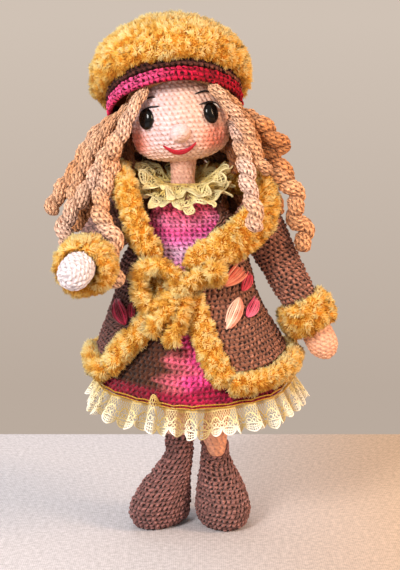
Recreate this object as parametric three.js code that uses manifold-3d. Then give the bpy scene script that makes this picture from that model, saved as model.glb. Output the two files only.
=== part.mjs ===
// A standing crocheted doll with a hat, corkscrew hair, a dress with a lace hem and a coat with fluffy edges.
// Millimetres, +Z up. The doll faces -Y, so its own left side is at +X.
// Every piece is a closed solid. Pieces that touch keep one small gap.

import * as THREE from "three";
import { mergeVertices } from "three/addons/utils/BufferGeometryUtils.js";
import Module from "manifold-3d";

const wasm = await Module();
wasm.setup();

// Driving dimensions

const gap = 0.3;
const overrun = 8;

const leg = { rise: 84, stand: 11.4, radius: 7.8, topRadius: 8.6, hipApart: 15, middle: 6.1, top: 12 };
const torso = {
  round: 4, footWide: 27, footDeep: 22,
  hipRise: 16, hipWide: 38.5, hipDeep: 33,
  waistRise: 50, waistWide: 36.5, waistDeep: 31,
  bustRise: 14, bustWide: 34.2, bustDeep: 29.5,
  chestRise: 12, chestWide: 29.2, chestDeep: 26,
  shoulderRise: 18, shoulderWide: 22.4, shoulderDeep: 19,
  neckRise: 17, neckRadius: 8.8, neckLength: 21, neckTopRadius: 8.5,
};
const lean = { foot: 6, waist: -1, shoulder: -0.4, neck: -2.4 };
const dowel = { radius: 3, intoBody: 14, intoHead: 18 };
const boot = {
  wall: 2.4, soleWall: 3, height: 56, leftDrop: 5, toeWide: 18.4, toeLong: 25, toeHeight: 13,
  soleWide: 13.5, soleLong: 19.5, ankle: 43, ahead: 11, rightOut: -5.9, leftOut: 2.7, back: 1.5, insole: 1.2,
};
const dress = { wall: 2.5, neckline: 22, hemWide: 61, hemDeep: 52, length: 56, frontDip: 9.5, fold: 1.1 };
const braid = { radius: 1.4, above: 1.2 };
const lace = { wall: 1.2, drop: 16, flare: 8.5, ruffle: 3.4, tuck: 1.2 };
const ruff = {
  wall: 1.2, ruffle: 2.2, innerRadius: 11, outWide: 27, outDeep: 23, forward: 4.5, rise: 4, tilt: 5.5,
  layer: 6.5, layerIn: 4.5,
};
const coat = {
  wall: 3, length: 43, frontDip: 10, topEase: 0.8, waistEase: 1.2, hemEase: 3, armhole: 6.4, armholeDeep: 22,
  sleevePlay: 0.9,
};
const edging = { wide: 7, thick: 5, hemWide: 6.6, hemThick: 5, out: 0.9 };
const shawl = { spread: 50, wide: 9.6, thick: 5.6, inset: 26 };
const tie = { radius: 5, spread: 30, standOff: 11.5, below: 48, aside: -3.7, pompom: 8.8 };
const petal = { thick: 1.1, tip: 0.5, spread: 20 };
const shoulder = { out: 44, below: 2, tilt: 22, splay: 6, forward: 71 };
const arm = {
  ball: 9, stub: 5.5, stubLong: 15.6, radius: 8.5, wristRadius: 7.2, wrist: 66, palmRadius: 9.8, palm: 82,
  length: 99,
};
const sleeve = {
  ball: 14.6, topRadius: 14, wristRadius: 11, cuffLong: 21, cuffRadius: 17, cuffStart: 56, cuffEnd: 12.4,
};
const thread = { radius: 0.75, play: 0.35, intoArm: 7, intoBody: 29 };
const head = {
  above: 25.5, aside: -4.9, wide: 30, deep: 28, high: 31, roll: 5.5, jowl: 0.15, socketPlay: 0.6,
};
const eye = {
  wide: 5, high: 6.5, dome: 3.9, aside: 39, down: 1.7, sink: 1.4, stem: 1.6, stemLong: 9, play: 0.4,
  washer: 5, washerThick: 1.5, washerDepth: 5.4,
};
const nose = { wide: 5.6, high: 5.2, out: 4.4, down: 21, sink: 1.5 };
const mouth = { radius: 1.15, halfWide: 9.6, corner: 17.1, middle: 21.9, aside: -1 };
const wig = { thick: 5, slope: 44.5, below: 5.7 };
const hair = { fall: 100, thread: 3.8, curl: 2, pitch: 18.5, rootLong: 8 };
const hat = {
  aside: -7, above: 0.5, tilt: 24.7, roll: 5.8, ringWide: 42, ringDeep: 40.2, ringInside: 36.8,
  ringInsideDeep: 35.8, low: -1, pinkHigh: 8.4, brownHigh: 15, bulge: 0.9, crownWide: 51.5, crownDeep: 49.5,
  crownMiddle: 24, crownHigh: 34.5, crownWall: 8,
};

// Number of sides and steps round the shapes

const sides = {
  body: 16, foot: 14, limb: 10, cuff: 12, tube: 8, cord: 6, braid: 5, garment: 36, coat: 22, hat: 22,
  head: 16, eye: 10, strand: 5,
};
const stepsPerCurl = 6;
const mouthSteps = 10;
const petalSteps = 5;

const laceWaves = 19;
const laceStepsPerWave = 4;
const ruffWaves = 12;
const ruffStepsPerWave = 4;
const foldWaves = 7;

// Heights that follow from the sizes

const station = { foot: leg.rise };
station.hip = station.foot + torso.hipRise;
station.waist = station.hip + torso.waistRise;
station.bust = station.waist + torso.bustRise;
station.chest = station.bust + torso.chestRise;
station.shoulder = station.chest + torso.shoulderRise;
station.neck = station.shoulder + torso.neckRise;
station.neckTop = station.neck + torso.neckLength;
station.head = station.neckTop + head.above;
station.pivot = station.shoulder - shoulder.below;
station.hem = station.waist - dress.length;
station.coatTop = station.neck - torso.neckRise / 2;

const torsoRows = [
  [station.foot, torso.footWide, torso.footDeep],
  [station.foot + torso.round, torso.footWide + torso.round * 1.6, torso.footDeep + torso.round * 1.6],
  [station.hip, torso.hipWide, torso.hipDeep],
  [station.waist, torso.waistWide, torso.waistDeep],
  [station.bust, torso.bustWide, torso.bustDeep],
  [station.chest, torso.chestWide, torso.chestDeep],
  [station.shoulder, torso.shoulderWide, torso.shoulderDeep],
  [station.neck, torso.neckRadius, torso.neckRadius],
  [station.neckTop, torso.neckTopRadius, torso.neckTopRadius],
];
const leanRows = [
  [station.foot, lean.foot],
  [station.waist, lean.waist],
  [station.shoulder, lean.shoulder],
  [station.neck, lean.neck],
  [station.neckTop, lean.neck],
];

// Small helpers

const TAU = 2 * Math.PI;
const radians = THREE.MathUtils.degToRad;
const degrees = THREE.MathUtils.radToDeg;
const spot = (x, y, z) => new THREE.Vector3(x, y, z);
const count = (length) => Array.from({ length }, (_, index) => index);
const mix = THREE.MathUtils.lerp;
const smooth = (low, high, value) => THREE.MathUtils.smoothstep(value, low, high);

// Reads a table whose first column is a place or a share, with a smooth curve through its rows.
function follow(rows, place) {
  const last = rows.length - 1;
  const next = rows.findIndex((row) => row[0] > place);
  const from = next < 0 ? last - 1 : Math.max(next - 1, 0);
  const step = rows[from + 1][0] - rows[from][0];
  const t = THREE.MathUtils.clamp((place - rows[from][0]) / step, 0, 1);
  const slope = (row, column) => {
    const [low, high] = [rows[Math.max(row - 1, 0)], rows[Math.min(row + 1, last)]];
    return ((high[column] - low[column]) / (high[0] - low[0])) * step;
  };
  return rows[from].slice(1).map((value, index) => {
    const column = index + 1;
    const rise = rows[from + 1][column] - value;
    const [start, end] = [slope(from, column), slope(from + 1, column)];
    return value + t * start + t * t * (3 * rise - 2 * start - end) + t * t * t * (start + end - 2 * rise);
  });
}

// Reads a table of the same kind with straight lines between its rows.
function between(rows, place) {
  const next = rows.findIndex((row) => row[0] > place);
  if (next < 1) return (next < 0 ? rows.at(-1) : rows[0]).slice(1);
  const share = (place - rows[next - 1][0]) / (rows[next][0] - rows[next - 1][0]);
  return rows[next].slice(1).map((value, index) => mix(rows[next - 1][index + 1], value, share));
}

// A closed solid from its corners and faces, turned the right way out.
function solid(corners, faces) {
  const volume = faces.reduce((sum, [a, b, c]) => {
    return sum + corners[a].dot(corners[b].clone().cross(corners[c]));
  }, 0);
  const turned = volume < 0 ? faces.map(([a, b, c]) => [a, c, b]) : faces;
  return new wasm.Manifold(
    new wasm.Mesh({
      numProp: 3,
      vertProperties: new Float32Array(corners.flatMap((corner) => corner.toArray())),
      triVerts: new Uint32Array(turned.flat()),
    }),
  );
}

// Two triangles for each cell between the rows of a grid of corner numbers.
function cells(rows, closed) {
  const across = rows[0].length;
  return rows.slice(1).flatMap((row, index) => {
    const before = rows[index];
    return count(closed ? across : across - 1).flatMap((k) => {
      const next = (k + 1) % across;
      return [[before[k], before[next], row[next]], [before[k], row[next], row[k]]];
    });
  });
}

// A skin over rings of equal length, closed at both ends.
function skin(rings) {
  const across = rings[0].length;
  const numbers = rings.map((ring, row) => ring.map((_, k) => row * across + k));
  const middle = (ring) => ring.reduce((sum, corner) => sum.add(corner), spot(0, 0, 0)).divideScalar(across);
  const corners = [...rings.flat(), middle(rings[0]), middle(rings.at(-1))];
  const [first, last] = [corners.length - 2, corners.length - 1];
  const caps = count(across).flatMap((k) => {
    const next = (k + 1) % across;
    return [[first, numbers[0][next], numbers[0][k]], [last, numbers.at(-1)[k], numbers.at(-1)[next]]];
  });
  return solid(corners, [...cells(numbers, true), ...caps]);
}

// A sheet with a thickness, from the grids of its two faces. A closed sheet runs all the way round.
function sheet(outer, inner, closed) {
  const across = outer[0].length;
  const total = outer.length * across;
  const numbers = outer.map((row, index) => row.map((_, k) => index * across + k));
  const back = numbers.map((row) => row.map((number) => number + total));
  const rims = [
    ...cells([back[0], numbers[0]], closed),
    ...cells([numbers.at(-1), back.at(-1)], closed),
  ];
  if (!closed) {
    const edge = (grid, end) => grid.map((row) => row.at(end));
    rims.push(...cells([edge(numbers, 0), edge(back, 0)], false));
    rims.push(...cells([edge(back, -1), edge(numbers, -1)], false));
  }
  const underside = cells(back, closed).map(([a, b, c]) => [a, c, b]);
  return solid([...outer.flat(), ...inner.flat()], [...cells(numbers, closed), ...underside, ...rims]);
}

// A three.js shape as a solid.
function fromGeometry(geometry) {
  geometry.deleteAttribute("normal");
  geometry.deleteAttribute("uv");
  const merged = mergeVertices(geometry);
  return new wasm.Manifold(
    new wasm.Mesh({
      numProp: 3,
      vertProperties: new Float32Array(merged.attributes.position.array),
      triVerts: new Uint32Array(merged.index.array),
    }),
  );
}

// What is left of a piece after others are cut from it, without the crumbs of the cut.
function cut(piece, ...others) {
  const left = others.reduce((rest, other) => rest.subtract(other), piece);
  const bodies = left.decompose();
  return bodies.reduce((best, body) => (body.volume() > best.volume() ? body : best));
}

const join = (...pieces) => pieces.reduce((sum, piece) => sum.add(piece));

// An upright elliptical ring.
function ring(x, y, z, wide, deep, across = sides.body) {
  return count(across).map((k) => {
    const turn = (TAU * k) / across;
    return spot(x + wide * Math.cos(turn), y + deep * Math.sin(turn), z);
  });
}

// A round bar between two places.
function bar(from, to, radius, across = sides.tube) {
  const along = to.clone().sub(from);
  const shape = new THREE.CylinderGeometry(radius, radius, along.length(), across);
  shape.applyQuaternion(new THREE.Quaternion().setFromUnitVectors(spot(0, 1, 0), along.clone().normalize()));
  shape.translate(...from.clone().add(to).divideScalar(2).toArray());
  return fromGeometry(shape);
}

function ball(centre, radius, across = sides.tube) {
  const shape = new THREE.SphereGeometry(radius, across, across / 2);
  shape.translate(...centre.toArray());
  return fromGeometry(shape);
}

// A tube along a line of places. size(share) gives its half width and half thickness, and face(place, share)
// the way in which it is thin.
function tube(places, size, across, face, closed = false) {
  const last = places.length - 1;
  let carried = spot(0, 0, 1);
  const rings = places.map((place, index) => {
    const before = places[closed ? (index + last) % (last + 1) : Math.max(index - 1, 0)];
    const after = places[closed ? (index + 1) % (last + 1) : Math.min(index + 1, last)];
    const along = after.clone().sub(before).normalize();
    const share = index / last;
    const out = face ? face(place, share) : carried;
    const thin = out.clone().addScaledVector(along, -out.dot(along)).normalize();
    carried = thin;
    const wide = along.clone().cross(thin);
    const [halfWide, halfThick] = size(share);
    return count(across).map((k) => {
      const turn = (TAU * k) / across;
      return place
        .clone()
        .addScaledVector(wide, halfWide * Math.cos(turn))
        .addScaledVector(thin, halfThick * Math.sin(turn));
    });
  });
  if (!closed) return skin(rings);
  const numbers = rings.map((row, index) => row.map((_, k) => index * row.length + k));
  return solid(rings.flat(), cells([...numbers, numbers[0]], true));
}

// A smooth line through a few places.
function line(places, steps, closed = false) {
  const curve = new THREE.CatmullRomCurve3(places, closed, "centripetal");
  const found = curve.getSpacedPoints(steps);
  return closed ? found.slice(0, -1) : found;
}

// How far a round end has opened, at a distance from it, as a share of its radius.
const endShares = (distance, radius) => {
  const t = THREE.MathUtils.clamp(distance / radius, 0, 1);
  return Math.max(Math.sqrt(1 - (1 - t) ** 2), 0.3);
};

// A tube whose two ends are round.
function rope(places, halfWide, halfThick, across, face, widthAt = () => 1) {
  const length = places.slice(1).reduce((sum, place, index) => sum + place.distanceTo(places[index]), 0);
  const size = (share) => {
    const end = endShares(Math.min(share, 1 - share) * length, Math.min(halfWide, halfThick));
    return [halfWide * end * widthAt(share), halfThick * end];
  };
  return tube(places, size, across, face);
}

// Body

const leanAt = (z) => follow(leanRows, z)[0];

function torsoShape(grow) {
  const heights = [
    station.foot, station.foot + torso.round, station.hip, mix(station.hip, station.waist, 0.5),
    station.waist, station.bust, station.chest, mix(station.chest, station.shoulder, 0.5), station.shoulder,
    mix(station.shoulder, station.neck, 0.33), mix(station.shoulder, station.neck, 0.67), station.neck,
    mix(station.neck, station.neckTop, 0.5), station.neckTop,
  ];
  const ends = [station.foot, station.neckTop];
  return skin(
    heights.map((z) => {
      const [wide, deep] = follow(torsoRows, z);
      const lift = z === ends[0] ? -grow : z === ends[1] ? grow : 0;
      return ring(leanAt(z), 0, z + lift, wide + grow, deep + grow);
    }),
  );
}

// The doll's legs and boots. side is 1 for the doll's left and -1 for its right.
const foot = {
  [-1]: { x: leg.middle - leg.stand, y: boot.back, heading: -33, height: boot.height, out: boot.rightOut },
  [1]: {
    x: leg.middle + leg.stand, y: boot.back, heading: 11, height: boot.height - boot.leftDrop,
    out: boot.leftOut,
  },
};
const footRows = [
  [0, boot.soleWide, boot.soleLong, boot.ahead],
  [boot.toeHeight * 0.3, boot.toeWide * 0.93, boot.toeLong * 0.95, boot.ahead],
  [boot.toeHeight, boot.toeWide, boot.toeLong, boot.ahead],
  [boot.toeHeight * 1.9, boot.toeWide * 0.88, boot.toeLong * 0.8, boot.ahead * 0.72],
  [mix(boot.toeHeight, boot.ankle, 0.68), boot.toeWide * 0.72, boot.toeLong * 0.58, boot.ahead * 0.36],
  [boot.ankle, leg.radius + gap + boot.wall, leg.radius + gap + boot.wall, 0],
];

function bootRing(side, z, grow) {
  const { x, y, heading, out } = foot[side];
  const [wide, long, ahead] = between(footRows, z);
  const turn = radians(heading);
  const aside = x + (out * ahead) / boot.ahead;
  return count(sides.foot).map((k) => {
    const angle = (TAU * k) / sides.foot;
    const across = (wide + grow) * Math.cos(angle);
    const along = ahead + (long + grow) * Math.sin(angle);
    return spot(
      aside + across * Math.cos(turn) + along * Math.sin(turn),
      y + across * Math.sin(turn) - along * Math.cos(turn),
      z,
    );
  });
}

// The boot's own outline when grow is 0, or one drawn inwards, between two heights.
function bootShape(side, grow, low, high) {
  const levels = footRows.map((row) => row[0]).filter((z) => z > low && z < high - gap);
  return skin([low, ...levels, high].map((z) => bootRing(side, z, grow)));
}

function bootPiece(side) {
  const inner = bootShape(side, -boot.wall, boot.soleWall, foot[side].height + overrun);
  return cut(bootShape(side, 0, 0, foot[side].height), inner);
}

const insoleTop = boot.soleWall + gap + boot.insole;

const insolePiece = (side) => bootShape(side, -boot.wall - gap, boot.soleWall + gap, insoleTop);

function legPiece(side) {
  const inFoot = bootShape(side, -boot.wall - gap, insoleTop + gap, boot.ankle);
  const { x, y } = foot[side];
  const hip = leanAt(station.foot) + side * leg.hipApart;
  const rows = [
    [boot.ankle - leg.top, x, y, leg.radius * 0.6],
    [boot.ankle, x, y, leg.radius - gap],
    [boot.height, x, y, leg.radius - gap],
    [mix(boot.height, station.foot, 0.5), mix(x, hip, 0.45), y, leg.radius],
    [station.foot + torso.round, hip, 0, leg.topRadius],
  ];
  const upper = skin(rows.map(([z, cx, cy, radius]) => ring(cx, cy, z, radius, radius, sides.foot)));
  return cut(join(inFoot, upper), torsoShape(gap));
}

// Dress

// The half width and half depth of the body and dress together, which the coat follows.
const skirtRows = [[0, 0], [0.25, 0.24], [0.6, 0.63], [1, 1]];

function dressHalf(z) {
  const [bodyWide, bodyDeep] = follow(torsoRows, Math.max(z, station.waist));
  const over = gap + dress.wall;
  if (z >= station.waist) return [bodyWide + over, bodyDeep + over];
  const [flare] = follow(skirtRows, (station.waist - z) / dress.length);
  const deeper = (station.waist - z) / dress.length > 1 ? (station.waist - z) / dress.length - 1 : 0;
  const out = flare + deeper * 0.9;
  return [mix(bodyWide + over, dress.hemWide, out), mix(bodyDeep + over, dress.hemDeep, out)];
}

const fold = (turn, drop) => dress.fold * drop * drop * Math.sin(foldWaves * turn + 0.6);

// A place on the dress or coat: turn goes round from +X, out is the distance from the dress.
function clothPlace(turn, z, out) {
  const [wide, deep] = dressHalf(z);
  const drop = THREE.MathUtils.clamp((station.waist - z) / dress.length, 0, 1.2);
  const far = out + fold(turn, drop);
  return spot(leanAt(z) + (wide + far) * Math.cos(turn), (deep + far) * Math.sin(turn), z);
}

const frontness = (turn) => Math.max(-Math.sin(turn), 0) ** 1.5;
const dressHem = (turn) => station.hem - dress.frontDip * frontness(turn);
const turns = (across) => count(across).map((k) => (TAU * k) / across);

function dressShape(grow, low, high) {
  const heights = [
    low, mix(low, station.waist, 0.5), station.waist, station.bust, station.chest, station.shoulder, high,
  ];
  return skin(heights.map((z) => turns(sides.garment).map((turn) => clothPlace(turn, z, grow))));
}

function bodicePiece() {
  const low = station.waist + gap;
  const high = station.waist + dress.neckline + torso.bustRise + torso.chestRise;
  const heights = [
    low, station.bust, station.chest, mix(station.chest, station.shoulder, 0.5), station.shoulder, high,
  ];
  const face = (out) => heights.map((z) => turns(sides.body).map((turn) => clothPlace(turn, z, out)));
  const wall = sheet(face(0), face(-dress.wall), true);
  return cut(wall, threadShape(1, thread.play), threadShape(-1, thread.play));
}

const skirtSteps = [0, 0.3, 0.65, 1];

function skirtPiece() {
  const face = (out) => {
    return skirtSteps.map((drop) => {
      const level = (turn) => mix(station.waist, dressHem(turn), drop);
      return turns(sides.garment).map((turn) => clothPlace(turn, level(turn), out));
    });
  };
  return sheet(face(0), face(-dress.wall), true);
}

// Everything under the skirt's outer face, for cutting what lies over the skirt.
function skirtShape(grow) {
  const rings = skirtSteps.map((drop) => {
    const low = (turn) => dressHem(turn) - grow;
    return turns(sides.garment).map((turn) => clothPlace(turn, mix(station.waist, low(turn), drop), grow));
  });
  return skin(rings);
}

function braidShape(grow) {
  const places = turns(sides.garment).map((turn) => {
    return clothPlace(turn, dressHem(turn) + braid.above, gap + braid.radius);
  });
  const radius = braid.radius + grow;
  return tube(places, () => [radius, radius], sides.braid, () => spot(0, 0, 1), true);
}

function skirtLacePiece() {
  const across = laceWaves * laceStepsPerWave;
  const drops = [0, 1];
  const face = (out) => {
    return drops.map((drop) => {
      return turns(across).map((turn) => {
        const hem = dressHem(turn) - gap;
        const wave = Math.sin(laceWaves * turn + 0.8 * Math.sin(3 * turn));
        const far = lace.tuck + lace.flare * drop + lace.ruffle * mix(0.12, 1, drop) * wave + out;
        const top = clothPlace(turn, dressHem(turn), -dress.wall);
        const away = spot(Math.cos(turn), Math.sin(turn), 0);
        return top.addScaledVector(away, far).setZ(hem - lace.drop * drop);
      });
    });
  };
  return sheet(face(lace.wall), face(0), true);
}

// A gathered lace ruffle round the neck. layer is 0 for the lower one and 1 for the upper one.
function ruffPiece(layer) {
  const across = ruffWaves * ruffStepsPerWave;
  const reaches = [0, 1];
  const face = (lift) => {
    return reaches.map((reach) => {
      return turns(across).map((turn) => {
        const back = (1 + Math.sin(turn)) / 2;
        const inner = ruff.innerRadius - layer * gap;
        const outWide = ruff.outWide - layer * ruff.layerIn;
        const outDeep = ruff.outDeep - layer * ruff.layerIn;
        const wave = ruff.ruffle * reach * Math.sin(ruffWaves * turn + layer * 2);
        const x = lean.neck + mix(inner, outWide, reach) * Math.cos(turn);
        const y = mix(inner, outDeep, reach) * Math.sin(turn) - ruff.forward * reach * (1 - back * 0.4);
        const low = station.neck - ruff.rise - ruff.wall;
        const z = low + layer * ruff.layer + ruff.tilt * back * 1.6 + (1 - reach) * ruff.tilt + wave;
        return spot(x, y, z + lift);
      });
    });
  };
  return cut(sheet(face(ruff.wall), face(0), true), torsoShape(gap));
}

// Coat

// Where the coat's two front edges lie: share of its height from the top, then the right and left edge in
// degrees.
const edgeShares = [
  [0, 188, -22],
  [0.06, 197, -36],
  [0.15, 216, -60],
  [0.24, 234, -75],
  [0.335, 244, -89],
  [0.48, 248, -87],
  [0.65, 244, -82],
  [0.82, 228, -78],
  [1, 217, -72],
];
const coatHem = (turn) => station.waist - coat.length - coat.frontDip * frontness(turn);
const coatLow = station.waist - coat.length - coat.frontDip;

function coatOut(z) {
  const drop = THREE.MathUtils.clamp((station.chest - z) / (station.chest - station.waist), 0, 1);
  const skirt = THREE.MathUtils.clamp((station.waist - z) / coat.length, 0, 1.2);
  return gap + mix(coat.topEase, coat.waistEase, drop) + (coat.hemEase - coat.waistEase) * skirt + coat.wall;
}

// A place on the coat's outer face, moved out by a distance.
const coatPlace = (turn, z, out) => clothPlace(turn, z, coatOut(z) + out);

// Above the edging the coat's own edge lies under the collar, and beside it the edge ends at the edging.
const trimStartShares = [0.3, 0.42];
const coatSteps = [0, 0.08, 0.18, 0.27, 0.36, 0.5, 0.65, 0.82, 1];

// The coat before its armholes, with all its faces moved out by grow.
function coatShell(grow) {
  const face = (out) => {
    return coatSteps.map((drop) => {
      return count(sides.coat + 1).map((k) => {
        const [right, left] = follow(edgeShares, drop);
        const inset = (edging.wide + gap) * smooth(...trimStartShares, drop) - grow;
        const spare = degrees(inset / dressHalf(mix(station.coatTop, coatLow, drop))[1]);
        const turn = radians(mix(left + spare, right - spare, k / sides.coat));
        const z = mix(station.coatTop + grow, coatHem(turn) + edging.hemWide + gap - grow, drop);
        return coatPlace(turn, z, out);
      });
    });
  };
  return sheet(face(grow), face(-coat.wall - grow), false);
}

function coatPiece() {
  const armholes = [-1, 1].map((side) => {
    const inner = pivot(side).addScaledVector(armAxis(side), -coat.armholeDeep);
    return bar(inner, pivot(side), coat.armhole, sides.cuff);
  });
  return cut(coatShell(0), ...armholes, sleeveShape(1, coat.sleevePlay), sleeveShape(-1, coat.sleevePlay));
}

// The solid inside the coat's outer face, for cutting what lies on the coat.
function coatShape(grow) {
  const rings = coatSteps.map((drop) => {
    const z = mix(station.coatTop, coatLow - overrun, drop);
    return turns(sides.garment).map((turn) => coatPlace(turn, z + (drop === 0 ? grow : 0), grow));
  });
  return skin(rings);
}

// The way out of the cloth at a place.
function clothFace(place) {
  const [wide, deep] = dressHalf(place.z);
  const middle = leanAt(place.z);
  return spot((place.x - middle) / wide ** 2, place.y / deep ** 2, 0).normalize();
}

// The edging's start and end down the coat's front, as shares of its height.
const trimShares = [0.385, 0.985];
const trimSteps = 11;
const hemTrimSteps = 32;
const shawlSteps = 26;

function frontTrimShape(side, grow) {
  const column = side < 0 ? 0 : 1;
  const places = count(trimSteps + 1).map((k) => {
    const drop = mix(...trimShares, k / trimSteps);
    const turn = radians(follow(edgeShares, drop)[column]);
    return coatPlace(turn, mix(station.coatTop, coatHem(turn), drop), edging.out);
  });
  return rope(places, edging.wide + grow, edging.thick + grow, sides.tube, clothFace);
}

const frontTrimPiece = (side) => {
  return cut(frontTrimShape(side, 0), coatShell(gap), skirtShape(gap), hemTrimShape(gap), braidShape(gap));
};

function hemTrimShape(grow) {
  const [right, left] = follow(edgeShares, 1);
  const places = count(hemTrimSteps + 1).map((k) => {
    const turn = radians(mix(left, right, k / hemTrimSteps));
    return coatPlace(turn, coatHem(turn), edging.out);
  });
  return rope(places, edging.hemWide + grow, edging.hemThick + grow, sides.tube, clothFace);
}

const hemTrimPiece = () => cut(hemTrimShape(0), coatShell(gap), skirtShape(gap), braidShape(gap));

// The shawl collar's middle line, from the bottom of the neckline round the back of the neck and down the
// other side. Each row is x, y and z from the base of the neck and the width, in shares.
const shawlShares = [
  [0.02, -0.84, -0.83, 0.62],
  [0.26, -0.8, -0.75, 0.95],
  [0.62, -0.74, -0.56, 1.2],
  [0.88, -0.52, -0.31, 1.3],
  [0.97, -0.16, -0.02, 1.2],
  [0.74, 0.24, 0.1, 1],
  [0.32, 0.54, 0.1, 1],
  [-0.26, 0.56, 0.1, 1],
  [-0.66, 0.26, 0.14, 1],
  [-0.78, -0.14, 0.18, 1],
  [-0.7, -0.5, 0.02, 0.9],
  [-0.59, -0.66, -0.26, 0.82],
  [-0.5, -0.74, -0.52, 0.8],
  [-0.3, -0.82, -0.78, 0.66],
];

function shawlShape(grow) {
  const centre = spot(lean.neck, 0, station.neck);
  const places = shawlShares.map(([x, y, z]) => spot(x, y, z).multiplyScalar(shawl.spread).add(centre));
  const widths = shawlShares.map(([, , , width], index) => [index / (shawlShares.length - 1), width]);
  const face = (place) => spot(place.x - centre.x, place.y, shawl.inset * 0.5).normalize();
  const curve = new THREE.CatmullRomCurve3(places, false, "centripetal");
  const found = count(shawlSteps + 1).map((k) => curve.getPoint(k / shawlSteps));
  const widthAt = (share) => follow(widths, share)[0];
  return rope(found, shawl.wide + grow, shawl.thick + grow, sides.tube, face, widthAt);
}

function shawlPiece() {
  return cut(
    shawlShape(0), coatShape(gap), torsoShape(gap),
    dressShape(gap, station.waist, station.shoulder + dress.wall),
    sleeveShape(1, gap), sleeveShape(-1, gap), frontTrimShape(1, gap), frontTrimShape(-1, gap),
  );
}

// The tie: one fluffy cord knotted at the front, in shares of its spread from the knot.
const loopShares = [
  [0, 0, 0], [-0.16, -0.03, 0.32], [-0.43, -0.02, 0.49], [-0.68, 0.04, 0.43], [-0.8, 0.1, 0.2],
  [-0.76, 0.08, -0.1], [-0.59, 0.02, -0.32], [-0.35, -0.04, -0.28], [-0.1, -0.05, -0.1], [0, 0, 0],
];
const tailShares = [
  [[0, 0, 0], [-0.22, -0.12, -0.36], [-0.46, -0.12, -0.62], [-0.58, -0.1, -0.86]],
  [[0, 0, 0], [0.02, -0.1, -0.44], [-0.1, -0.14, -0.76], [-0.24, -0.16, -1.05]],
  [[0, 0, 0], [0.16, -0.02, 0.18], [0.4, 0.04, 0.34], [0.66, 0.1, 0.46]],
];

function tieShape(grow) {
  const z = station.coatTop - tie.below;
  const [, deep] = dressHalf(z);
  const knot = spot(tie.aside, -(deep + coatOut(z) + tie.standOff), z);
  const cord = (shares, steps) => {
    const places = shares.map(([x, y, up]) => spot(x, y, up).multiplyScalar(tie.spread).add(knot));
    return rope(line(places, steps), tie.radius + grow, tie.radius + grow, sides.cord);
  };
  const end = spot(...tailShares[2].at(-1)).multiplyScalar(tie.spread).add(knot);
  return join(
    cord(loopShares, 15), ...tailShares.map((shares) => cord(shares, 5)), ball(end, tie.pompom + grow),
    ball(knot, tie.radius * 1.25 + grow),
  );
}

const tiePiece = () => {
  return cut(tieShape(0), frontTrimShape(1, gap), frontTrimShape(-1, gap), shawlShape(gap), coatShape(gap));
};

// Embroidered petals. Each row is its name, look, then its base and tip on the coat, sideways as a share of
// the coat's half width there and up from the waist as a share of petal.spread, and its half width as such a
// share.
const petalShares = [
  ["left_petal_fan", "salmonThread", 0.529, 0.28, 0.867, 0.78, 0.27],
  ["left_petal_red", "redThread", 0.788, 0.05, 0.93, 0.58, 0.13],
  ["left_petal_cream", "creamThread", 0.442, -1, 0.717, -0.14, 0.17],
  ["left_petal_pink", "pinkThread", 0.729, -0.7, 0.945, -0.2, 0.15],
  ["right_petal_dark", "crimsonThread", -0.718, -0.92, -0.928, -0.22, 0.15],
  ["right_petal_small", "crimsonThread", -0.655, -0.74, -0.692, -0.2, 0.09],
];

function petalPiece([, , baseX, baseUp, tipX, tipUp, half]) {
  const end = (x, up) => {
    const z = station.waist + up * petal.spread;
    return spot(leanAt(z) + x * (dressHalf(z)[0] + coatOut(z)), 0, z);
  };
  const start = end(baseX, baseUp);
  const along = end(tipX, tipUp).sub(start);
  const across = spot(along.z, 0, -along.x).normalize();
  const face = (lift) => {
    return count(petalSteps + 1).map((row) => {
      const share = row / petalSteps;
      const width = petal.tip + half * petal.spread * Math.sin(Math.PI * Math.min(share ** 0.8, 1));
      return [-1, 0, 1].map((place) => {
        const flat = start.clone().addScaledVector(along, share).addScaledVector(across, place * width);
        const [wide] = dressHalf(flat.z);
        const reach = (flat.x - leanAt(flat.z)) / (wide + coatOut(flat.z));
        const turn = -Math.acos(THREE.MathUtils.clamp(reach, -0.98, 0.98));
        return coatPlace(turn, flat.z, gap * 2.5 + lift * (1 - 0.7 * place * place));
      });
    });
  };
  return cut(sheet(face(petal.thick), face(0), false), coatShell(gap));
}

// Arms. The pivot's axis slopes up and out, square to the shoulder.

const pivot = (side) => spot(side * shoulder.out, 0, station.pivot);
const armAxis = (side) => spot(side * Math.cos(radians(shoulder.tilt)), 0, Math.sin(radians(shoulder.tilt)));

function armWay(side) {
  const forward = radians(side < 0 ? shoulder.forward : 0);
  const [tilt, splay] = [radians(shoulder.tilt), radians(shoulder.splay)];
  const down = spot(side * Math.sin(tilt), 0, -Math.cos(tilt));
  const swing = down.multiplyScalar(Math.cos(forward)).add(spot(0, -Math.sin(forward), 0));
  return armAxis(side).multiplyScalar(Math.sin(splay)).add(swing.multiplyScalar(Math.cos(splay)));
}

// A round limb along the arm, from rows of distance from the pivot and radius.
function armLoft(side, rows, grow, across) {
  const way = armWay(side);
  const wide = armAxis(side).cross(way).normalize();
  const thin = way.clone().cross(wide);
  const last = rows.length - 1;
  return skin(
    rows.map(([distance, radius], index) => {
      const reach = distance + (index === 0 ? -grow : index === last ? grow : 0);
      const middle = pivot(side).addScaledVector(way, reach);
      return turns(across).map((turn) => {
        return middle
          .clone()
          .addScaledVector(wide, (radius + grow) * Math.cos(turn))
          .addScaledVector(thin, (radius + grow) * Math.sin(turn));
      });
    }),
  );
}

function stubShape(side, grow) {
  const inner = pivot(side).addScaledVector(armAxis(side), -arm.stubLong - grow);
  return bar(inner, pivot(side), arm.stub + grow, sides.cuff);
}

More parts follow.
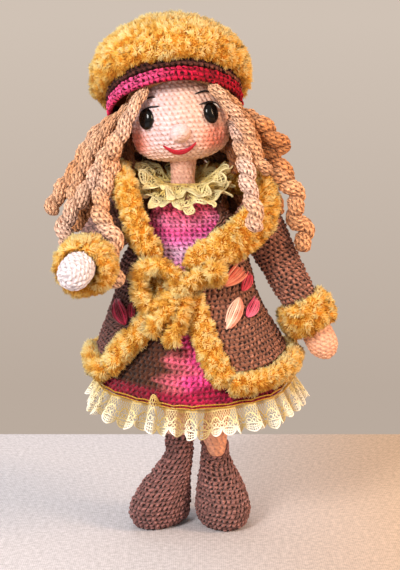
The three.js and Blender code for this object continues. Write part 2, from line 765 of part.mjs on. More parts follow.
function threadShape(side, grow) {
  const inner = pivot(side).addScaledVector(armAxis(side), -thread.intoBody - grow);
  const outer = pivot(side).addScaledVector(armAxis(side), thread.intoArm + grow);
  return bar(inner, outer, thread.radius + grow, sides.cord);
}

function armShape(side, grow) {
  const rows = [
    [0, arm.radius], [arm.wrist * 0.5, mix(arm.radius, arm.wristRadius, 0.5)], [arm.wrist, arm.wristRadius],
    [mix(arm.wrist, arm.palm, 0.55), arm.palmRadius * 0.93], [arm.palm, arm.palmRadius],
    [mix(arm.palm, arm.length, 0.5), arm.palmRadius * 0.95],
    [mix(arm.palm, arm.length, 0.84), arm.palmRadius * 0.66], [arm.length, arm.palmRadius * 0.2],
  ];
  const shoulderBall = ball(pivot(side), arm.ball + grow, sides.limb);
  return join(armLoft(side, rows, grow, sides.limb), shoulderBall, stubShape(side, grow));
}

const armPiece = (side) => cut(armShape(side, 0), threadShape(side, thread.play));

function sleeveShape(side, grow) {
  const rows = [
    [0, sleeve.topRadius], [arm.wrist * 0.5, mix(sleeve.topRadius, sleeve.wristRadius, 0.42)],
    [arm.wrist, sleeve.wristRadius],
  ];
  return join(armLoft(side, rows, grow, sides.limb), ball(pivot(side), sleeve.ball + grow, sides.limb));
}

function sleevePiece(side) {
  const wristRows = [[arm.wrist, arm.wristRadius + gap], [arm.wrist + overrun, arm.wristRadius + gap]];
  const wristEnd = armLoft(side, wristRows, 0, sides.limb);
  return cut(sleeveShape(side, 0), armShape(side, gap), wristEnd);
}

function cuffShape(side, grow) {
  const start = sleeve.cuffStart;
  const rows = [
    [start, sleeve.cuffEnd], [start + sleeve.cuffLong * 0.12, mix(sleeve.cuffEnd, sleeve.cuffRadius, 0.72)],
    [start + sleeve.cuffLong * 0.32, sleeve.cuffRadius], [start + sleeve.cuffLong * 0.68, sleeve.cuffRadius],
    [start + sleeve.cuffLong * 0.88, mix(sleeve.cuffEnd, sleeve.cuffRadius, 0.72)],
    [start + sleeve.cuffLong, sleeve.cuffEnd],
  ];
  return armLoft(side, rows, grow, sides.cuff);
}

const cuffPiece = (side) => cut(cuffShape(side, 0), sleeveShape(side, gap), armShape(side, gap));

// Head. Its own frame has its middle at the origin, the face towards -Y and a roll about Y.

const headMiddle = spot(head.aside, 0, station.head);
const headFrame = new THREE.Matrix4()
  .makeTranslation(headMiddle.x, headMiddle.y, headMiddle.z)
  .multiply(new THREE.Matrix4().makeRotationY(-radians(head.roll)));

// A place on the head: aside in degrees from the face's middle, up in degrees, and a distance out.
function headPlace(aside, up, out) {
  const [turn, rise] = [radians(aside), radians(up)];
  const round = Math.cos(rise) * (1 - head.jowl * Math.sin(rise));
  return spot(
    (head.wide + out) * round * Math.sin(turn),
    -(head.deep + out) * round * Math.cos(turn),
    (head.high + out) * Math.sin(rise),
  ).applyMatrix4(headFrame);
}

// How high the head's rings lie, in shares of a quarter turn up or down from its middle.
const headRiseShares = [-0.91, -0.71, -0.51, -0.33, -0.17, 0, 0.17, 0.33, 0.51, 0.71, 0.91];

function headShape(grow, across = sides.head) {
  const ringAt = (rise) => turns(across).map((turn) => headPlace(degrees(turn), degrees(rise), grow));
  return skin(headRiseShares.map((share) => ringAt((share * TAU) / 4)));
}

// The frame of something set on the face, with its z axis straight out.
function faceFrame(aside, up, out) {
  const place = headPlace(aside, up, out);
  const [right, above] = [headPlace(aside + 2, up, out), headPlace(aside, up + 2, out)];
  const x = right.sub(place).normalize();
  const z = x.clone().cross(above.sub(place)).normalize();
  const y = z.clone().cross(x);
  return new THREE.Matrix4().makeBasis(x, y, z).setPosition(place);
}

// A shape turned about its own z axis, from rows of radius and height, then stretched and set on the face.
function faceTurned(frame, profile, wideScale, across) {
  const rings = profile.map(([radius, height]) => {
    return turns(across).map((turn) => {
      return spot(radius * Math.cos(turn) * wideScale, radius * Math.sin(turn), height).applyMatrix4(frame);
    });
  });
  return skin(rings);
}

const eyeFrame = (side) => faceFrame(side * eye.aside, -eye.down, 0);

function eyeDome(side, grow) {
  const profile = [
    [eye.high * 0.86 + grow, gap - grow - eye.sink], [eye.high + grow, eye.dome * 0.25],
    [eye.high * 0.9 + grow, eye.dome * 0.6], [eye.high * 0.55 + grow, eye.dome * 0.9],
    [eye.high * 0.12, eye.dome + grow],
  ];
  return faceTurned(eyeFrame(side), profile, eye.wide / eye.high, sides.eye);
}

function eyeStem(side, grow) {
  const profile = [[eye.stem + grow, -eye.stemLong - grow], [eye.stem + grow, 0]];
  return faceTurned(eyeFrame(side), profile, 1, sides.tube);
}

const eyePiece = (side) => join(eyeDome(side, 0), eyeStem(side, 0));

function washerShape(side, grow) {
  const profile = [
    [eye.washer + grow, -eye.washerDepth - eye.washerThick - grow],
    [eye.washer + grow, -eye.washerDepth + grow],
  ];
  return faceTurned(eyeFrame(side), profile, 1, sides.eye);
}

const washerPiece = (side) => cut(washerShape(side, 0), eyeStem(side, gap));

function nosePiece() {
  const profile = [
    [nose.high * 0.8, -nose.sink], [nose.high, 0], [nose.high * 0.92, nose.out * 0.4],
    [nose.high * 0.6, nose.out * 0.82], [nose.high * 0.15, nose.out],
  ];
  const shape = faceTurned(faceFrame(0, -nose.down, 0), profile, nose.wide / nose.high, sides.eye);
  return cut(shape, headShape(gap));
}

function mouthPiece() {
  const places = count(mouthSteps + 1).map((k) => {
    const across = (2 * k) / mouthSteps - 1;
    const x = mouth.aside + across * mouth.halfWide;
    const z = mix(-mouth.middle, -mouth.corner, across * across);
    const up = degrees(Math.asin(z / head.high));
    const round = Math.cos(radians(up)) * (1 - head.jowl * Math.sin(radians(up)));
    const aside = degrees(Math.asin(x / (head.wide * round)));
    return headPlace(aside, up, mouth.radius * 0.75);
  });
  return cut(rope(places, mouth.radius, mouth.radius, sides.cord), headShape(gap));
}

function dowelShape(grow) {
  return bar(
    spot(lean.neck, 0, station.neck - dowel.intoBody - grow),
    spot(lean.neck, 0, station.neckTop + dowel.intoHead + grow),
    dowel.radius + grow,
  );
}

function headPiece() {
  const socketRadius = torso.neckRadius + head.socketPlay;
  const top = spot(lean.neck, 0, station.neckTop + gap);
  const socket = bar(spot(lean.neck, 0, station.neck), top, socketRadius, sides.body);
  const eyes = [-1, 1].flatMap((side) => {
    return [eyeStem(side, eye.play), eyeDome(side, gap), washerShape(side, gap)];
  });
  return cut(headShape(0), socket, dowelShape(gap), ...eyes);
}

// The wig cap covers the top and back of the head, behind a sloping plane.
function wigShape(grow) {
  const size = (head.wide + head.high) * 2;
  const box = new THREE.BoxGeometry(size, size, size);
  box.translate(0, 0, -size / 2 - wig.below - grow);
  box.applyMatrix4(new THREE.Matrix4().makeRotationX(-radians(wig.slope)));
  box.applyMatrix4(headFrame);
  return cut(headShape(wig.thick + grow), fromGeometry(box));
}

const wigPiece = () => cut(wigShape(0), headShape(gap));

// Hat, in its own frame: the ring where it sits on the wig cap is in the plane of X and Y, and +Z lifts it
// off.

const hatFrame = new THREE.Matrix4()
  .makeTranslation(hat.aside, 0, station.head + hat.above)
  .multiply(new THREE.Matrix4().makeRotationY(-radians(hat.roll)))
  .multiply(new THREE.Matrix4().makeRotationX(-radians(hat.tilt)));

const hatRing = (x, y, up, wide, deep) => {
  return ring(x, y, up, wide, deep, sides.hat).map((corner) => corner.applyMatrix4(hatFrame));
};
const hatRings = (rows, x = 0) => skin(rows.map(([wide, deep, up]) => hatRing(x, 0, up, wide, deep)));

// The middle of the hat's opening, which sits on the head and not in the middle of the hat.
const hatInsideX = head.aside - hat.aside;

// The hat's opening runs straight along its own axis, so the hat lifts clear of the wig cap.
function hatHollow() {
  const top = hat.crownMiddle + hat.crownHigh - hat.crownWall;
  const crownRows = [0, 0.45, 0.8, 0.97].map((share) => {
    const round = Math.sqrt(1 - share * share);
    const [wide, deep] = [hat.crownWide - hat.crownWall, hat.crownDeep - hat.crownWall];
    return [wide * round, deep * round, mix(hat.crownMiddle, top, share)];
  });
  const mouthRows = [hat.low - overrun, hat.brownHigh].map((up) => [hat.ringInside, hat.ringInsideDeep, up]);
  return hatRings([...mouthRows, ...crownRows], hatInsideX);
}

function hatBandPiece(low, high) {
  const levels = [low, mix(low, high, 0.5), high];
  const outside = levels.map((up, index) => {
    const draw = index === 1 ? 0 : hat.bulge;
    return hatRing(0, 0, up, hat.ringWide - draw, hat.ringDeep - draw);
  });
  const inside = levels.map((up) => hatRing(hatInsideX, 0, up, hat.ringInside, hat.ringInsideDeep));
  return sheet(outside, inside, true);
}

function hatCrownPiece() {
  const low = hat.brownHigh + gap;
  const shares = [-0.25, 0, 0.3, 0.55, 0.78, 0.95];
  const rows = shares.map((share) => {
    const round = Math.sqrt(1 - share * share);
    return [hat.crownWide * round, hat.crownDeep * round, hat.crownMiddle + hat.crownHigh * share];
  });
  const kept = rows.filter(([, , up]) => up > low + gap);
  return cut(hatRings([[hat.ringWide + hat.bulge, hat.ringDeep + hat.bulge, low], ...kept]), hatHollow());
}

// Everything that the hat fills, for cutting the hair.
function hatShape(grow) {
  const rows = [
    [hat.ringWide + grow, hat.ringDeep + grow, hat.low - grow],
    [hat.ringWide + grow, hat.ringDeep + grow, hat.brownHigh - grow],
    [hat.crownWide + grow, hat.crownDeep + grow, hat.brownHigh],
    [hat.crownWide + grow, hat.crownDeep + grow, hat.crownMiddle + hat.crownHigh],
  ];
  return hatRings(rows);
}

// Hair. Each strand is a corkscrew round a middle line, whose points are shares of hair.fall from the head's
// middle. Its first point is in the wig cap, or at the hairline under the hat for the two front strands.
const strandShares = {
  hair_right_front: [
    [-0.235, -0.25, 0.12], [-0.3, -0.265, 0], [-0.36, -0.25, -0.15], [-0.45, -0.2, -0.28],
    [-0.53, -0.15, -0.42], [-0.64, -0.14, -0.56], [-0.7, -0.16, -0.68], [-0.68, -0.2, -0.8],
  ],
  hair_right_outer: [
    [-0.3, -0.05, -0.02], [-0.41, -0.07, -0.04], [-0.5, -0.08, -0.12], [-0.58, -0.06, -0.24],
    [-0.66, -0.05, -0.38], [-0.75, -0.04, -0.5], [-0.8, -0.05, -0.62],
  ],
  hair_right_inner: [
    [-0.28, 0, -0.06], [-0.38, -0.08, -0.16], [-0.4, -0.2, -0.32], [-0.46, -0.3, -0.48],
    [-0.45, -0.42, -0.62], [-0.37, -0.5, -0.74], [-0.41, -0.52, -0.86], [-0.34, -0.55, -1],
  ],
  hair_right_side: [
    [-0.27, 0.12, -0.1], [-0.4, 0.1, -0.15], [-0.5, 0.07, -0.28], [-0.56, 0.07, -0.44], [-0.62, 0.1, -0.6],
    [-0.66, 0.14, -0.74],
  ],
  hair_left_front: [
    [0.2, -0.25, 0.16], [0.3, -0.26, 0.04], [0.37, -0.25, -0.08], [0.42, -0.23, -0.16], [0.46, -0.24, -0.27],
    [0.56, -0.22, -0.36],
  ],
  hair_left_inner: [
    [0.29, -0.02, -0.04], [0.37, -0.1, -0.09], [0.38, -0.2, -0.2], [0.37, -0.34, -0.34], [0.41, -0.43, -0.46],
    [0.43, -0.48, -0.56], [0.43, -0.52, -0.68],
  ],
  hair_left_upper: [
    [0.29, 0, 0.01], [0.41, -0.03, -0.01], [0.51, -0.06, -0.07], [0.6, -0.06, -0.16], [0.68, -0.05, -0.22],
  ],
  hair_left_middle: [
    [0.28, 0.11, -0.06], [0.4, 0.08, -0.13], [0.52, 0.04, -0.22], [0.62, 0.02, -0.31], [0.7, 0, -0.42],
  ],
  hair_left_outer: [
    [0.25, 0.17, -0.15], [0.37, 0.12, -0.24], [0.48, 0, -0.32], [0.58, -0.08, -0.37], [0.66, -0.08, -0.42],
    [0.73, -0.06, -0.5], [0.71, -0.06, -0.62], [0.78, -0.08, -0.72], [0.74, -0.1, -0.84],
  ],
  hair_back_right: [
    [-0.17, 0.17, -0.22], [-0.26, 0.32, -0.27], [-0.34, 0.44, -0.38], [-0.4, 0.5, -0.52], [-0.42, 0.5, -0.67],
    [-0.42, 0.49, -0.82],
  ],
  hair_back_right_middle: [
    [-0.06, 0.22, -0.24], [-0.1, 0.38, -0.28], [-0.14, 0.5, -0.4], [-0.16, 0.53, -0.54], [-0.16, 0.52, -0.7],
    [-0.18, 0.51, -0.88],
  ],
  hair_back_left_middle: [
    [0.06, 0.22, -0.24], [0.11, 0.38, -0.28], [0.15, 0.5, -0.4], [0.16, 0.53, -0.54], [0.18, 0.52, -0.7],
    [0.16, 0.51, -0.9],
  ],
  hair_back_left: [
    [0.17, 0.17, -0.22], [0.28, 0.32, -0.27], [0.38, 0.43, -0.38], [0.44, 0.48, -0.52], [0.46, 0.48, -0.66],
    [0.48, 0.47, -0.8],
  ],
};

function strandPlaces(shares) {
  const middle = shares.map(([x, y, z]) => spot(x, y, z).multiplyScalar(hair.fall).add(headMiddle));
  const curve = new THREE.CatmullRomCurve3(middle, false, "centripetal");
  const length = curve.getLength();
  const curls = length / hair.pitch;
  const steps = Math.round(curls * stepsPerCurl);
  let aside = spot(1, 0, 0);
  return count(steps + 1).map((k) => {
    const share = k / steps;
    const along = curve.getTangentAt(share);
    aside = aside.addScaledVector(along, -aside.dot(along)).normalize();
    const turn = TAU * curls * share;
    const far = hair.curl * Math.min(smooth(0, hair.rootLong, share * length) + 0.15, 1);
    return curve
      .getPointAt(share)
      .addScaledVector(aside, far * Math.cos(turn))
      .addScaledVector(along.clone().cross(aside), far * Math.sin(turn));
  });
}

function strandShape(shares, grow) {
  const radius = hair.thread + grow;
  return rope(strandPlaces(shares), radius, radius, sides.strand);
}

// The least gap between a strand's own turns, which has to stay above the gap of a curl.
function leastGap(shares) {
  const places = strandPlaces(shares);
  const apart = Math.round(stepsPerCurl * 0.75);
  const gaps = places.flatMap((place, index) => {
    return places.slice(index + apart).map((other) => other.distanceTo(place) - 2 * hair.thread);
  });
  return Math.min(...gaps);
}

// The looks of the pieces

const looks = {
  skinYarn: [0xf0cdbe, 0.9],
  caramelYarn: [0xcd9669, 0.85],
  brownYarn: [0x875f50, 0.9],
  bootYarn: [0x966458, 0.9],
  pinkYarn: [0xdc4682, 0.85],
  wineYarn: [0x9c2a55, 0.85],
  crimsonYarn: [0xc02050, 0.85],
  fluffYarn: [0xebb450, 0.95],
  laceThread: [0xebe1aa, 0.8],
  goldThread: [0xd7b43c, 0.5],
  blackGloss: [0x0a0a0c, 0.08],
  washerPlastic: [0xe8e8e4, 0.5],
  salmonThread: [0xe07a58, 0.6],
  redThread: [0xc8283c, 0.6],
  creamThread: [0xf0d2b4, 0.6],
  pinkThread: [0xdc5a78, 0.6],
  crimsonThread: [0x8c1432, 0.6],
  dowelWood: [0xd8b888, 0.6],
  insoleCard: [0xb49a78, 0.9],
  jointThread: [0xdccdb9, 0.8],
};
const materials = Object.fromEntries(
  Object.entries(looks).map(([name, [color, roughness]]) => {
    return [name, new THREE.MeshStandardMaterial({ name, color, roughness, metalness: 0 })];
  }),
);

const doll = new THREE.Group();
// The origin is on the floor, below the middle of the doll's box.
const boxMiddle = { x: 3.5, y: -15.7 };
doll.position.set(-boxMiddle.x, -boxMiddle.y, 0);

function add(name, look, piece) {
  const mesh = piece.getMesh();
  const geometry = new THREE.BufferGeometry();
  geometry.setAttribute("position", new THREE.BufferAttribute(new Float32Array(mesh.vertProperties), 3));
  geometry.setIndex(new THREE.BufferAttribute(new Uint32Array(mesh.triVerts), 1));
  geometry.computeVertexNormals();
  const part = new THREE.Mesh(geometry, materials[look]);
  part.name = name;
  doll.add(part);
}

const sidesOf = [["right", -1], ["left", 1]];

add("torso", "skinYarn", cut(torsoShape(0), dowelShape(gap), threadShape(1, gap), threadShape(-1, gap)));
add("neck_dowel", "dowelWood", dowelShape(0));
for (const [name, side] of sidesOf) {
  add(`${name}_leg`, "skinYarn", legPiece(side));
  add(`${name}_boot`, "bootYarn", bootPiece(side));
  add(`${name}_insole`, "insoleCard", insolePiece(side));
  add(`${name}_shoulder_thread`, "jointThread", threadShape(side, 0));
  add(`${name}_arm`, "skinYarn", armPiece(side));
  add(`${name}_sleeve`, "brownYarn", sleevePiece(side));
  add(`${name}_cuff`, "fluffYarn", cuffPiece(side));
}
add("dress_bodice", "pinkYarn", bodicePiece());
add("dress_skirt", "wineYarn", skirtPiece());
add("gold_braid", "goldThread", braidShape(0));
add("skirt_lace", "laceThread", skirtLacePiece());
add("neck_lace_lower", "laceThread", ruffPiece(0));
add("neck_lace_upper", "laceThread", ruffPiece(1));

add("coat_body", "brownYarn", coatPiece());
add("right_front_trim", "fluffYarn", frontTrimPiece(-1));
add("left_front_trim", "fluffYarn", frontTrimPiece(1));
add("hem_trim", "fluffYarn", hemTrimPiece());
add("coat_collar", "fluffYarn", shawlPiece());
add("coat_tie", "fluffYarn", tiePiece());
for (const row of petalShares) add(row[0], row[1], petalPiece(row));

add("head", "skinYarn", headPiece());
add("nose", "skinYarn", nosePiece());
add("mouth", "redThread", mouthPiece());
add("wig_cap", "caramelYarn", wigPiece());
for (const [name, side] of sidesOf) {
  add(`${name}_eye`, "blackGloss", eyePiece(side));
  add(`${name}_eye_washer`, "washerPlastic", washerPiece(side));
}

add("hat_band_pink", "pinkYarn", hatBandPiece(hat.low, hat.pinkHigh));
add("hat_band_brown", "brownYarn", hatBandPiece(hat.pinkHigh + gap, hat.brownHigh));
add("hat_crown", "fluffYarn", hatCrownPiece());

// Each strand gives way to everything that it lies on and to the strands before it.
const under = [
  headShape(gap), wigShape(gap), hatShape(gap), shawlShape(gap), coatShape(gap), ruffPiece(0), ruffPiece(1),
  ...sidesOf.flatMap(([, side]) => [sleeveShape(side, gap), cuffShape(side, gap), armShape(side, gap)]),
];
for (const [name, shares] of Object.entries(strandShares)) {
  add(name, "caramelYarn", cut(strandShape(shares, 0), ...under));
  under.push(strandShape(shares, gap));
}
const curlGap = Math.min(...Object.values(strandShares).map(leastGap));
console.log("Least gap in a strand:", curlGap.toFixed(2), "mm");

export default doll;
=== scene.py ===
"""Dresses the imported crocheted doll: stitched yarn, fluffy edges, corkscrew hair, lace and studio light.

Places are worked out in millimetres in the doll's own frame: +X is the doll's left and -Y its front.
DOLL_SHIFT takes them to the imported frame.
"""

import bpy
import numpy as np
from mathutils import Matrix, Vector


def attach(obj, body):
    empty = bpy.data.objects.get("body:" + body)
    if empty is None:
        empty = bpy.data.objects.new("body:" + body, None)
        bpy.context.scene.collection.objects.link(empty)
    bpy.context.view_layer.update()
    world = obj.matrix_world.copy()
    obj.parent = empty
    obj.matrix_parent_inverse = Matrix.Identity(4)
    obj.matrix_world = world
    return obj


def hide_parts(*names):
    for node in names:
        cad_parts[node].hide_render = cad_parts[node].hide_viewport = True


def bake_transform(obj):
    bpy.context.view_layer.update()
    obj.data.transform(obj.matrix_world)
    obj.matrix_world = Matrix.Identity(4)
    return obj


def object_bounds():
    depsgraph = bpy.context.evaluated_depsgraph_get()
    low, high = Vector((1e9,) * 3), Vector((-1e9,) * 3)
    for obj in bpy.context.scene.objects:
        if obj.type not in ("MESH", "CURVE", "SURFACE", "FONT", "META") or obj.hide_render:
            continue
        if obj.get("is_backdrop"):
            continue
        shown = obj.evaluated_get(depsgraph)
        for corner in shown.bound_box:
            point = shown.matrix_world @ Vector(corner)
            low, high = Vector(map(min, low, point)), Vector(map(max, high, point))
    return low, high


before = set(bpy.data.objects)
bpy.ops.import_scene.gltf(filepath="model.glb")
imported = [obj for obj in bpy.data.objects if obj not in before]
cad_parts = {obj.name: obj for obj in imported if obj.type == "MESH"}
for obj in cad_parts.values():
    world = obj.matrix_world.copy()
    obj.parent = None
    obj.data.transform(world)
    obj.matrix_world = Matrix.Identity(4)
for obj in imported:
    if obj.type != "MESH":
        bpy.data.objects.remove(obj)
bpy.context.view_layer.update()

TAU = 2 * np.pi
MM = 0.001
DOLL_SHIFT = np.array([-3.5, 15.7, 0.0])

# Camera, at the photograph's viewing angle

CAMERA_AT = np.array([8.0, -850.0, 270.0])
CAMERA_DOWN = 7.96
CAMERA_LENS = 86.5
SENSOR_WIDE = 36

camera = bpy.data.objects.new("camera", bpy.data.cameras.new("camera"))
camera.data.lens = CAMERA_LENS
camera.data.sensor_width = SENSOR_WIDE
camera.data.clip_start = 0.01
camera.location = (CAMERA_AT + DOLL_SHIFT) * MM
camera.rotation_euler = (np.radians(90 - CAMERA_DOWN), 0, 0)
bpy.context.collection.objects.link(camera)
bpy.context.scene.camera = camera
bpy.context.scene.view_settings.view_transform = "Standard"

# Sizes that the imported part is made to

GAP = 0.3
HEIGHTS = dict(foot=84, waist=150, chest=176, neck=211, neck_top=232)
HEAD_HIGH = 257.5
PIVOT_HIGH = 192
COAT_TOP = 202.5
DRESS = dict(wall=2.5, hem_wide=61, hem_deep=52, length=56, dip=9.5, fold=1.1, hem=94)
COAT = dict(wall=3, length=43, dip=10, top=0.8, waist=1.2, hem=3)
EDGING = dict(wide=7, thick=5, hem_wide=6.6, hem_thick=5, out=0.9)
HEAD = dict(aside=-4.9, wide=30, deep=28, high=31, roll=5.5, jowl=0.15)
HAT = dict(aside=-7, above=0.5, tilt=24.7, roll=5.8, ring_wide=42, ring_deep=40.2, inside_wide=36.8,
           inside_deep=35.8, low=-1, pink_high=8.4, brown_high=15, crown_wide=51.5, crown_deep=49.5,
           middle=24, high=34.5, wall=8, arch=2.6)
SHOULDER = dict(out=44, tilt=22, splay=6, forward=71)

TORSO_ROWS = [
    [84, 27, 22], [88, 33.4, 28.4], [100, 38.5, 33], [150, 36.5, 31], [164, 34.2, 29.5], [176, 29.2, 26],
    [194, 22.4, 19], [211, 8.8, 8.8], [232, 8.5, 8.5],
]
LEAN_ROWS = [[84, 6], [150, -1], [194, -0.4], [211, -2.4], [232, -2.4]]
SKIRT_ROWS = [[0, 0], [0.25, 0.24], [0.6, 0.63], [1, 1]]
# Share of the coat's height from the top, then its right and left front edge in degrees.
EDGE_ROWS = [
    [0, 188, -22], [0.06, 197, -36], [0.15, 216, -60], [0.24, 234, -75], [0.335, 244, -89],
    [0.48, 248, -87], [0.65, 244, -82], [0.82, 228, -78], [1, 217, -72],
]


# Numbers and noise

def mix(a, b, share):
    return a + (b - a) * share


def unit(ways):
    return ways / np.maximum(np.linalg.norm(ways, axis=-1, keepdims=True), 1e-9)


def spots(x, y, z):
    """Places from arrays of x, y and z that fit one another's shapes."""
    return np.stack(np.broadcast_arrays(x, y, z), axis=-1)


def smooth(low, high, value):
    share = np.clip((value - low) / (high - low), 0, 1)
    return share * share * (3 - 2 * share)


def follow(rows, places):
    """Reads a table with a smooth curve through its rows, whose slope at a row is that of its neighbours."""
    rows = np.asarray(rows, float)
    places = np.asarray(places, float)
    keys, last = rows[:, 0], len(rows) - 1
    at = np.clip(np.searchsorted(keys, places, side="right") - 1, 0, last - 1)
    step = keys[at + 1] - keys[at]
    t = np.clip((places - keys[at]) / step, 0, 1)[..., None]

    def slope(row):
        low, high = np.maximum(row - 1, 0), np.minimum(row + 1, last)
        return (rows[high, 1:] - rows[low, 1:]) * (step / (keys[high] - keys[low]))[..., None]

    value, rise = rows[at, 1:], rows[at + 1, 1:] - rows[at, 1:]
    start, end = slope(at), slope(at + 1)
    return value + t * start + t**2 * (3 * rise - 2 * start - end) + t**3 * (start + end - 2 * rise)


def wander(points, size, seed, waves=10):
    """Smooth noise about 0 and mostly within 1, with lumps of the given size: a sum of seeded sines."""
    draw = np.random.default_rng(seed)
    ways = unit(draw.normal(size=(waves, 3))) * (TAU / size) * draw.uniform(0.5, 1.3, (waves, 1))
    starts = draw.uniform(0, TAU, waves)
    return np.sin(points @ ways.T + starts).sum(-1) / np.sqrt(waves)


def chance(*numbers):
    """A fixed share from 0 to 1 for each set of whole numbers, as if drawn at random."""
    total = sum(number * weight for number, weight in zip(numbers, (12.9898, 78.233, 37.719)))
    return np.mod(np.sin(total) * 43758.5453, 1)


def colour(*levels):
    """A colour written in screen levels from 0 to 255, as linear light."""
    share = np.asarray(levels, float) / 255
    return np.where(share <= 0.04045, share / 12.92, ((share + 0.055) / 1.055) ** 2.4)


def blend_colours(stops, share):
    """Colours along a list of (share, colour), read with straight lines."""
    keys = [stop[0] for stop in stops]
    columns = np.array([colour(*stop[1]) for stop in stops])
    return np.stack([np.interp(share, keys, columns[:, k]) for k in range(3)], axis=-1)


# Meshes from grids of places

def add_mesh(name, places, faces, look, uvs=None, tint=None, relief=None, soft=None):
    """An object from places in mm and arrays of corner numbers, turned so that its faces point outwards.

    uvs holds stitch numbers for each face's corners. tint and relief hold a colour and a stitch's height for
    each place, and soft a shading direction.
    """
    volume = 0
    for face in faces:
        corners = places[face]
        for k in range(1, face.shape[1] - 1):
            volume += np.einsum("ij,ij->", corners[:, 0], np.cross(corners[:, k], corners[:, k + 1]))
    if volume < 0:
        faces = [face[:, ::-1] for face in faces]
        uvs = None if uvs is None else [uv[:, ::-1] for uv in uvs]
    mesh = bpy.data.meshes.new(name)
    mesh.vertices.add(len(places))
    mesh.vertices.foreach_set("co", ((places + DOLL_SHIFT) * MM).astype(np.float32).ravel())
    corners = np.concatenate([face.ravel() for face in faces]).astype(np.int32)
    sizes = np.concatenate([np.full(len(face), face.shape[1]) for face in faces])
    mesh.loops.add(len(corners))
    mesh.loops.foreach_set("vertex_index", corners)
    mesh.polygons.add(len(sizes))
    mesh.polygons.foreach_set("loop_start", (np.cumsum(sizes) - sizes).astype(np.int32))
    mesh.polygons.foreach_set("use_smooth", np.ones(len(sizes), bool))
    mesh.update(calc_edges=True)
    if soft is not None:
        mesh.normals_split_custom_set_from_vertices(soft.astype(np.float32))
    if uvs is not None:
        layer = mesh.uv_layers.new(name="stitches")
        flat = np.concatenate([uv.reshape(-1, 2) for uv in uvs]).astype(np.float32)
        layer.data.foreach_set("uv", flat.ravel())
    if tint is not None:
        layer = mesh.attributes.new("tint", "FLOAT_COLOR", "POINT")
        full = np.concatenate([tint, np.ones((len(tint), 1))], axis=1).astype(np.float32)
        layer.data.foreach_set("color", full.ravel())
    if relief is not None:
        layer = mesh.attributes.new("relief", "FLOAT", "POINT")
        layer.data.foreach_set("value", relief.astype(np.float32))
    piece = bpy.data.objects.new(name, mesh)
    piece.data.materials.append(look)
    bpy.context.collection.objects.link(piece)
    return piece


def grid_faces(rows, across, closed, first=0):
    """Four-cornered faces of a grid whose corners are numbered row by row from first."""
    row = np.arange(rows - 1)[:, None]
    column = np.arange(across if closed else across - 1)[None, :]
    near, far = first + row * across, first + (row + 1) * across
    after = (column + 1) % across
    return np.stack([near + column, near + after, far + after, far + column], axis=-1).reshape(-1, 4)


def normals(grid, closed):
    """The way out of a grid surface at each point: across the row crossed with down the column."""
    if closed:
        across = np.roll(grid, -1, 1) - np.roll(grid, 1, 1)
    else:
        across = np.gradient(grid, axis=1)
    return unit(np.cross(across, np.gradient(grid, axis=0)))


# Crochet

STITCH = 3.5
ROUND = 2.95
LEAN = 0.38
# How flat a stitch is on top before it rounds off to its edges.
LUMP = 2.0
# The inner face of a sheet is painted this much darker than its stitches, as painted shade.
INSIDE_PAINTED_SHADE = 0.8


def stitch_height(across, up):
    """One stitch, from 0 in its gaps to 1 on its yarn: a lump, rounded across and up, with a slight dip
    between its two legs and a gap at each side of its foot."""
    beside = 2 * np.abs(across)
    lump = (1 - beside**LUMP) * (1 - np.abs(2 * up - 1) ** LUMP)
    dip = 0.12 * np.exp(-(across / 0.12) ** 2) * smooth(0.3, 0.8, up)
    gap = 0.5 * np.exp(-((beside - 1) / 0.45) ** 2 - ((up - 0.3) / 0.32) ** 2)
    return np.clip(0.25 + 0.75 * lump**0.6 - dip - gap, 0, 1)


